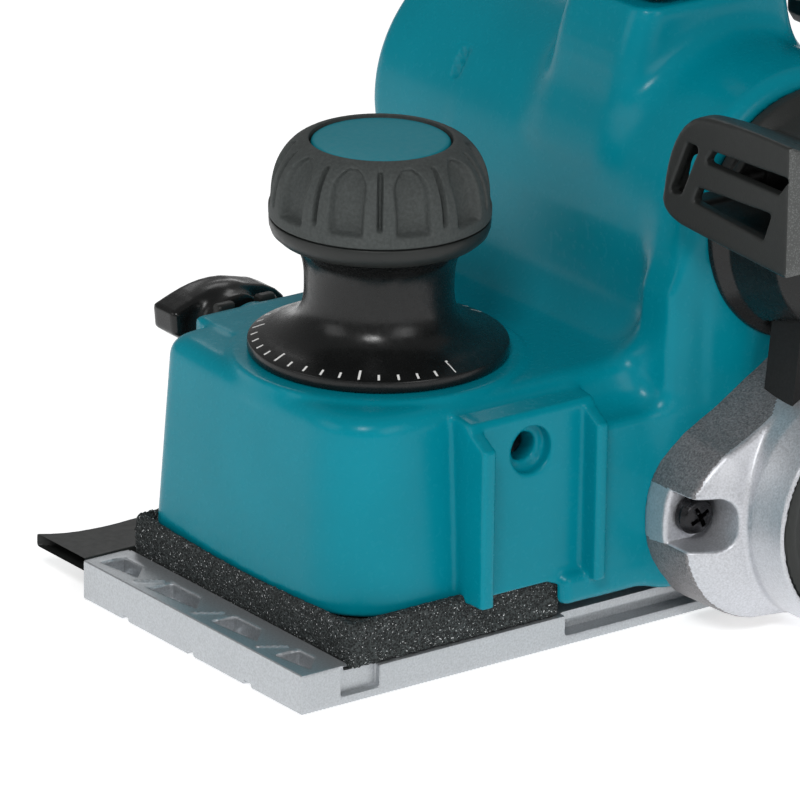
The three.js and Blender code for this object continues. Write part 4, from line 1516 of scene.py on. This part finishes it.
# ---------------------------------------------------------------- belt side
@dataclass
class BeltCover:
    """The silver casting over the belt, with its screws and black inset."""

    lobe: Spot = Spot(96.5, 26.5)
    lobe_radius: float = 24.2
    ridge: float = 57.2
    boss: float = 27.8
    boss_face: float = 74.0
    seat: float = 43.8
    wall: float = 2.4
    screws: tuple[Spot, ...] = (Spot(113.7, 28.5), Spot(44, 22), Spot(48, 62))
    drum: Vector = field(default_factory=lambda: pivot("drum_spin"))
    motor: Vector = field(default_factory=lambda: pivot("motor_spin"))

    def plan(self) -> list[Point]:
        """Side outline of the cover, drawn 4 mm inside its edge."""
        r = self.lobe_radius - 4
        return [
            *arc(self.lobe.at, r, 50, -88, 16), *arc((self.drum.x, self.drum.z), 23.7, -96, -120, 4),
            (56, 8.5), *arc((51, 22.5), 13.2, -115, -180, 6), (37.8, 48), *arc((48, 58), 10.2, 180, 95, 6),
            (64, 67.6), (80, 57.6),
        ]

    def shell(self) -> Field:
        """The casting: a side wall up to the ridge, a face that rises inwards, and the round boss."""
        outline = self.plan()
        at = (self.drum.x, self.drum.z)

        def distance(x: Array, y: Array, z: Array) -> Array:
            """Signed distance to the casting without its boss."""
            edge = outline_distance(outline, x, z) - 4.0
            inward = np.maximum(-edge, 0)
            rise = self.ridge + 5.2 * (1 - np.exp(-inward / 6.5)) + 0.10 * inward
            draft = 0.035 + 0.15 * np.clip((z - 34) / 12, 0, 1)
            wall = edge + (y - self.seat) * draft
            return soft_max(soft_max(wall, (y - rise) * 0.86, 0.8), self.seat - y, 0.3)

        edge_r, top_r = self.boss - 0.6, self.boss - 2.2
        boss = turned(Axis.Y, at, [(0, 50), (edge_r, 50), (edge_r, 64.6), (top_r, 73.0), (0, 73.0)], 0.6)
        rim = turned(Axis.Y, at, [(0, 50), (26.4, 50), (26.4, 73.7), (0, 73.7)], 0.25)
        return blend(0.8, blend(0.9, distance, boss), rim)

    def pocket(self, spot: Spot, grow: float = 0.0) -> Field:
        """The open-sided pocket that a screw's head sits in.

        Args:
            spot: Where the screw stands.
            grow: Extra size all round.

        Returns:
            The pocket.
        """
        far = spot.x + 14 if spot.x > self.drum.x else spot.x - 14
        low, high = sorted((spot.x, far))
        line = [(low, spot.z - 1.3), (high, spot.z - 1.3), (high, spot.z + 1.3), (low, spot.z + 1.3)]
        return prism(Axis.Y, line, 50.6 - grow, 80, 0.4, 4.6 + grow)

    def hollow(self, outer: Field) -> Field:
        """The room inside: the casting's own shape less its wall, open towards the housing.

        Args:
            outer: The casting.

        Returns:
            The room.
        """
        filled = blend(0, *[self.pocket(spot, 2.2) for spot in self.screws])

        def room(x: Array, y: Array, z: Array) -> Array:
            """Signed distance to the room, less the screw pockets."""
            return np.maximum(outer(x, np.maximum(y, self.seat + 4), z) + self.wall, -filled(x, y, z))

        return room

    def build(self) -> None:
        """Makes the cover, its screws and the inset."""
        at, motor_at = (self.drum.x, self.drum.z), (self.motor.x, self.motor.z)
        outer = self.shell()
        cuts = [
            rod(Axis.Y, motor_at, 28.8, 40, 48.6, 0.3),
            rod(Axis.Y, motor_at, 25.6, 40, 80, 0.3),
            rod(Axis.Y, at, 25.75, self.boss_face - 2.2, 80, 0.2),
            *[rod(Axis.Y, (s.x, s.z), 2.8, 30, 60, 0.1) for s in self.screws],
        ]
        shell = carve(0.9, outer, *[self.pocket(s) for s in self.screws])
        shell = carve(0.2, shell, self.hollow(outer), *cuts)
        piece = skinned("belt_cover_casting", shell, stations((32, 70, 1.2), (70, 122.5, 0.6)),
                        stations((43, 76, 0.6)), stations((-0.6, 73.5, 0.65)))
        # Side walls below the ridge, away from the boss and the front screw's pocket, take the darker silver:
        # rougher grain and painted shade.
        paint(piece, Finish.SILVER, Finish.SILVER_ROUGH,
              choose=lambda p, n: int(abs(n.y) < 0.5 and p.y < self.ridge + 0.9 and
                                      (p.x - self.drum.x) ** 2 + (p.z - self.drum.z) ** 2 > 784 and
                                      not (p.x > 107.5 and abs(p.z - 28.5) < 6.3)))
        settle(piece, BODY, "silver_cover", "belt_cover")
        self.inset()
        for number, spot in enumerate(self.screws, 1):
            self.screw(f"cover_screw_{number}", spot)

    def inset(self) -> None:
        """The black disc in the boss, with a raised rim."""
        at = (self.drum.x, self.drum.z)
        profile = [(0, 72.4), (25.0, 72.4), (25.0, 73.3), (22.8, 73.3), (22.4, 73.0), (0, 73.0)]
        shape = turned(Axis.Y, at, profile, 0.3)
        piece = skinned("cover_inset_disc", shape, stations((53, 107, 0.9)), stations((71.4, 74.4, 0.35)),
                        stations((1.5, 55, 0.9)), 35)
        paint(piece, Finish.HOOD)
        settle(piece, BODY, "black_plastic", "cover_inset")

    def screw(self, node: str, spot: Spot) -> None:
        """A black pan-head screw with a cross recess.

        Args:
            node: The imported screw.
            spot: Where it stands.
        """
        profile = [(0, 51.2), (3.9, 51.2), (3.9, 52.6), (3.3, 53.9), (1.8, 54.3), (0, 54.4)]
        head = turned(Axis.Y, spot.at, profile, 0.4)
        shank = rod(Axis.Y, spot.at, 2.4, 44, 52, 0.3)
        cross = blend(0, block((spot.x - 2.5, 52.6, spot.z - 0.5), (spot.x + 2.5, 58, spot.z + 0.5), 0.1),
                      block((spot.x - 0.5, 52.6, spot.z - 2.5), (spot.x + 0.5, 58, spot.z + 2.5), 0.1))

        def tilted(x: Array, y: Array, z: Array) -> Array:
            """The cross, turned as the screw was left."""
            c, s = math.cos(0.5), math.sin(0.5)
            across, up = x - spot.x, z - spot.z
            return cross(across * c - up * s + spot.x, y, across * s + up * c + spot.z)

        piece = skinned(f"{node}_head", carve(0.2, blend(0.3, head, shank), tilted),
                        stations((spot.x - 5, spot.x + 5, 0.25)),
                        stations((43.4, 50.8, 1.0), (50.8, 55.4, 0.25)),
                        stations((spot.z - 5, spot.z + 5, 0.25)), 35)
        paint(piece, Finish.BLACK_STEEL)
        settle(piece, BODY, "black_steel", node)


@dataclass
class VentHood:
    """The black hood over the motor pulley, with its slotted nose."""

    disc: float = 28.4
    cap: float = 24.6
    front: float = 121.6
    back: float = 84.0
    motor: Vector = field(default_factory=lambda: pivot("motor_spin"))

    def nose_outline(self, inset: float) -> list[Point]:
        """Front outline of the nose in Y and Z, drawn 2 mm inside and then set in further.

        Args:
            inset: Wall thickness to set in by.

        Returns:
            The outline.
        """
        d = inset + 2.0
        return [
            *bend((48.4 + d, 103.5), (49.4 + d, 112), (53.6 + d * 0.7, 122.4 - d), (62.8, 123.4 - d), 10),
            (75.8, 124.9 - d), (91.5 - d, 126.6 - d), (91.5 - d, 95.4 + d), (63.9, 96.5 + d),
            *bend((55, 97.0 + d), (51 + d, 97.3 + d), (48.2 + d, 98.0 + d), (48.0 + d, 100.5 + d * 0.5), 6),
        ]

    def roof(self, lower: float) -> Field:
        """Everything under the nose's top, which slopes down to the rear.

        Args:
            lower: How far under the top it stays.

        Returns:
            The space.
        """
        line = [(60, 60), (130, 60), (130, 128 - lower), (self.front, 125.0 - lower), (60, 97 - lower)]
        return prism(Axis.Y, line, 30, 110, 0.1)

    def build(self) -> None:
        """Makes the hood."""
        at = (self.motor.x, self.motor.z)
        profile = [(0, 44.3), (self.disc - 0.4, 44.3), (self.disc - 0.4, 46.6), (self.cap + 1.0, 49.4),
                   (self.cap - 0.6, 56), (self.cap - 2.0, 62), (self.cap - 6.0, 65.2), (0, 65.4)]
        round_part = turned(Axis.Y, at, profile, 0.4)
        nose = prism(Axis.X, self.nose_outline(0), self.back, self.front, 1.1, 2.0)
        nose = common(1.0, nose, self.roof(0))
        room = prism(Axis.X, self.nose_outline(2.6), 76, self.front - 2.6, 0.4, 2.0)
        room = common(0, room, self.roof(2.8))
        mouth = block((76, 39, 100.6), (self.front - 5, 52.4, 119.5), 0.4)
        inside = carve(0, mouth, rod(Axis.Y, at, self.disc + 0.6, 30, 80, 0.1))
        slots = blend(
            0,
            prism(Axis.X, [(51.9, 104.4), (54.2, 105.0), (59.2, 115.4), (57.0, 115.4)], 112, 130, 0.3, 0.9),
            prism(Axis.X, [(63.5, 113.9), (87.4, 114.0), (90.0, 117.2), (65.2, 116.1)], 105, 130, 0.3, 0.6),
            prism(Axis.X, [(59.6, 104.1), (82.6, 102.6), (84.6, 107.8), (60.8, 106.7)], 105, 130, 0.3, 0.6),
            rod(Axis.Y, at, self.cap - 3.2, 49.6, 62.6, 0.5),
            block((66, 49.6, 57), (93, 61.0, 89), 0.5),
            rod(Axis.Y, at, 5.5, 40, 52, 0.1),
        )
        shell = carve(0.5, blend(1.6, round_part, nose), room, inside, slots)
        piece = skinned("vent_hood_shell", shell, stations((48, 84, 1.0), (84, 123, 0.55)),
                        stations((43, 93, 0.6)), stations((59, 95, 0.9), (95, 128, 0.55)))
        paint(piece, Finish.HOOD, Finish.SANDED, Finish.SATIN,
              choose=lambda p, n: 1 if p.y > 88.0 and n.y > 0.35 else (2 if p.z < 96 else 0))
        settle(piece, BODY, "black_plastic", "vent_hood")


# ---------------------------------------------------------------- right side and small fittings
@dataclass
class SideFittings:
    """Depth guide, wing knob, chip outlet, motor end cap and bearing plate."""

    clamp: Spot = GUIDE_SCREW
    arm: float = -43.8
    drum: Vector = field(default_factory=lambda: pivot("drum_spin"))
    motor: Vector = field(default_factory=lambda: pivot("motor_spin"))

    def guide(self) -> None:
        """The rabbet depth guide: slotted upright arm and a flat flange."""
        x, y = self.clamp.x, self.arm
        arm = block((x - 8, y - 3, 6), (x + 8, y, 59.5), 1.0)
        tail = bend((186, -56.2), (196, -55.6), (203, -56.0), (209.0, -60.6), 8)
        flange = prism(Axis.Z, [(149, y - 0.6), (149, -52), (154, -56.2), *tail, (210.2, -54), (209.6, -42.8),
                                (176, -42.8), (174, y - 0.6)], 5.6, 8.6, 0.6, 0.6)
        slot = block((x - 3.3, y - 6, self.clamp.z - 6.6), (x + 3.3, y + 3, self.clamp.z + 9.6), 1.4)
        marks = [block((x + 4.6, y - 3.6, z - 0.25), (x + 7.2, y - 2.7, z + 0.25), 0.1)
                 for z in range(20, 41, 5)]
        shape = carve(0.3, blend(2.0, arm, flange), slot, *marks)
        piece = skinned("depth_guide_plate", shape, stations((147, 209.5, 0.9)), stations((-65, -40.5, 0.7)),
                        stations((5, 12.5, 0.5), (12.5, 71, 1.0)), 40)
        paint(piece, Finish.BLACK)
        settle(piece, "guide", "black_plastic", "depth_guide")

    def wing(self) -> None:
        """The wing knob that clamps the guide."""
        x, z, y = self.clamp.x, self.clamp.z, self.arm
        hub = rod(Axis.Y, (x, z), 7.5, y - 12, y - 3.3, 1.2)

        upper = bend((x + 12.8, z + 3.6), (x + 8, z + 5.4), (x + 3, z + 7.6), (x - 4, z + 6.6), 8)
        rear = bend((x - 8, z + 5.6), (x - 14, z + 4.6), (x - 17, z + 1.5), (x - 16.4, z - 1.6), 6)
        under = bend((x - 8, z - 4.4), (x - 3, z - 6.6), (x + 5, z - 6.4), (x + 12.4, z - 0.4), 8)
        blades = prism(Axis.Y, [*upper, *rear, *under], y - 17.8, y - 8.6, 1.6, 1.0)
        stud = rod(Axis.Y, (x, z), 2.6, y - 10, y + 18, 0.3)
        shape = blend(2.4, blend(3.0, hub, blades), stud)
        piece = skinned("wing_knob_grip", shape, stations((145, 183, 0.75)), stations((-64, -24, 0.75)),
                        stations((43, 62, 0.7)))
        paint(piece, Finish.SATIN)
        settle(piece, "wing", "black_plastic", "wing_knob")

    def outlet(self) -> None:
        """The chip outlet's spout."""
        mouth = [(98, 44), (111, 44), (111, 53.5), (98, 53.5)]
        outer = prism(Axis.Y, mouth, -58, -43.7, 0.6, 6.0)
        lip = prism(Axis.Y, mouth, -46.5, -43.7, 0.5, 6.0)
        inner = prism(Axis.Y, mouth, -70, -30, 0.1, 3.4)
        piece = skinned("chip_spout", carve(0.5, blend(1, outer, lip), inner), stations((90.5, 118.5, 0.7)),
                        stations((-59, -42.8, 0.7)), stations((36.5, 61, 0.7)))
        paint(piece, Finish.BLACK)
        settle(piece, BODY, "black_plastic", "chip_outlet")

    def end_cap(self) -> None:
        """The motor's vented end cap."""
        at = (self.motor.x, self.motor.z)
        dome = turned(Axis.Y, at, [(0, -81.4), (14.6, -81.4), (18.0, -79.6), (18.4, -77.9), (0, -77.9)], 0.6)
        vents = []
        for i in range(10):
            c, s = math.cos(math.radians(36 * i)), math.sin(math.radians(36 * i))
            slot = [(at[0] + r * c + w * s, at[1] + r * s - w * c)
                    for r, w in ((6.5, -0.6), (13.5, -0.6), (13.5, 0.6), (6.5, 0.6))]
            vents.append(prism(Axis.Y, slot, -90, -79.4, 0.1, 0.5))
        piece = skinned("motor_cap", carve(0.3, dome, *vents), stations((58, 98, 0.7)),
                        stations((-83, -76.8, 0.4)), stations((69, 109, 0.7)), 40)
        paint(piece, Finish.BLACK)
        settle(piece, BODY, "black_plastic", "motor_end_cap")

    def plate(self) -> None:
        """The cast cover over the drum's right bearing."""
        at = (self.drum.x, self.drum.z)
        cup = turned(Axis.Y, at, [(0, -49.4), (14.4, -49.4), (15.4, -48.4), (15.4, -44.3), (0, -44.3)], 0.6)
        seat = rod(Axis.Y, at, BEARING_SEAT, -47.3, -40, 0.2)
        piece = skinned("bearing_cover", carve(0.2, cup, seat), stations((63, 97, 0.7)),
                        stations((-51, -43, 0.4)), stations((11, 45, 0.7)), 40)
        paint(piece, Finish.CAST)
        settle(piece, BODY, "cast_aluminium", "bearing_plate")

    def build(self) -> None:
        """Makes every fitting on the right side."""
        self.guide()
        self.wing()
        self.outlet()
        self.end_cap()
        self.plate()


class Works:
    """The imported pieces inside, which keep their shapes and get their finishes here."""

    FINISHES: dict[Finish, tuple[str, ...]] = {
        Finish.CAST: ("cutter_drum", "bearing_bracket"),
        Finish.BLADE: ("blade_1", "blade_2"),
        Finish.STEEL: ("blade_clamp_1", "blade_clamp_2", "drum_bearing_left", "drum_bearing_right",
                       "drum_pulley", "armature_shaft", "motor_bearing_left", "motor_bearing_right",
                       "motor_pulley"),
        Finish.COPPER: ("armature_core", "commutator"),
        Finish.IRON: ("stator",),
        Finish.BLACK: ("cooling_fan", "brush_cap_1", "brush_cap_2"),
        Finish.CARBON: ("brush_1", "brush_2"),
        Finish.RUBBER: ("drive_belt",),
    }

    def build(self) -> None:
        """Dresses every inner piece."""
        for finish, nodes in self.FINISHES.items():
            for node in nodes:
                dress_node(node, finish)
                log.info("%s: %s", node, finish.value.name)


# ---------------------------------------------------------------- studio
@dataclass
class Studio:
    """Camera, floor and soft light."""

    lens: float = 407.85
    stand: tuple[float, float, float] = (1257.575, 1484.212, 735.908)
    right: tuple[float, float, float] = (-0.80556183, 0.59235689, 0.01354453)
    up: tuple[float, float, float] = (-0.19649399, -0.28864363, 0.93705654)
    back: tuple[float, float, float] = (0.55898145, 0.75219556, 0.34891486)

    def camera(self) -> None:
        """A long lens from the front left, above the tool."""
        data = bpy.data.cameras.new("camera")
        data.lens = self.lens
        data.sensor_fit = "HORIZONTAL"
        data.sensor_width = 36
        data.clip_end = 50
        made = bpy.data.objects.new("camera", data)
        turn = Matrix((self.right, self.up, self.back)).transposed().to_4x4()
        made.matrix_world = Matrix.Translation(Vector(self.stand) * MM) @ turn
        bpy.context.scene.collection.objects.link(made)
        bpy.context.scene.camera = made

    def floor(self) -> None:
        """A wide white floor under the sole."""
        reach = 6.0
        corners_at = [(-reach, -reach, -0.0006), (reach, -reach, -0.0006), (reach, reach, -0.0006),
                      (-reach, reach, -0.0006)]
        mesh = bpy.data.meshes.new("floor")
        mesh.from_pydata(corners_at, [], [(0, 1, 2, 3)])
        made = bpy.data.objects.new("floor", mesh)
        bpy.context.scene.collection.objects.link(made)
        sheet = NodeSheet("floor_white")
        shade = sheet.ramp(sheet.noise(400, 2), (0.3, (0.93, 0.93, 0.93, 1)), (0.7, (0.95, 0.95, 0.95, 1)))
        sheet.link(shade, sheet.shader, "Base Color")
        sheet.socket("Roughness", 0.9)
        sheet.socket("Specular IOR Level", 0.1)
        sheet.link(shade, sheet.shader, "Emission Color")
        sheet.socket("Emission Strength", 0.62)
        mesh.materials.append(sheet.material)

    def lamp(self, name: str, place: tuple, size: tuple, power: float) -> None:
        """A soft panel light that faces the tool.

        Args:
            name: Name of the light.
            place: Where it stands, in metres.
            size: Its width and height in metres.
            power: Its power in watts.
        """
        data = bpy.data.lights.new(name, "AREA")
        data.shape = "RECTANGLE"
        data.size, data.size_y = size
        data.energy = power
        made = bpy.data.objects.new(name, data)
        made.location = place
        aim = Vector((0.12, 0, 0.06)) - Vector(place)
        made.rotation_euler = aim.to_track_quat("-Z", "Y").to_euler()
        bpy.context.scene.collection.objects.link(made)

    def build(self) -> None:
        """Sets up the world light, the floor and the panels."""
        world = bpy.data.worlds.new("studio")
        bpy.context.scene.world = world
        world.use_nodes = True
        world.node_tree.nodes["Background"].inputs["Color"].default_value = (1, 1, 1, 1)
        world.node_tree.nodes["Background"].inputs["Strength"].default_value = 0.25
        bpy.context.scene.view_settings.view_transform = "Standard"
        self.floor()
        self.lamp("key_panel", (1.3, 1.1, 1.5), (0.5, 0.5), 17)
        self.lamp("side_panel", (0.1, 2.2, 1.0), (1.1, 1.1), 9.5)
        self.lamp("front_panel", (2.2, -0.5, 1.0), (1.1, 1.1), 6)
        self.lamp("rim_panel", (-0.8, -1.5, 1.4), (0.8, 0.8), 3.5)


def main() -> None:
    """Builds the whole planer and its studio."""
    studio = Studio()
    studio.camera()
    Sole().build()
    Housing().build()
    DepthKnob().build()
    BeltCover().build()
    VentHood().build()
    Handle().build()
    SideFittings().build()
    Works().build()
    studio.build()
    bpy.context.view_layer.update()


if __name__ == "__main__":
    main()
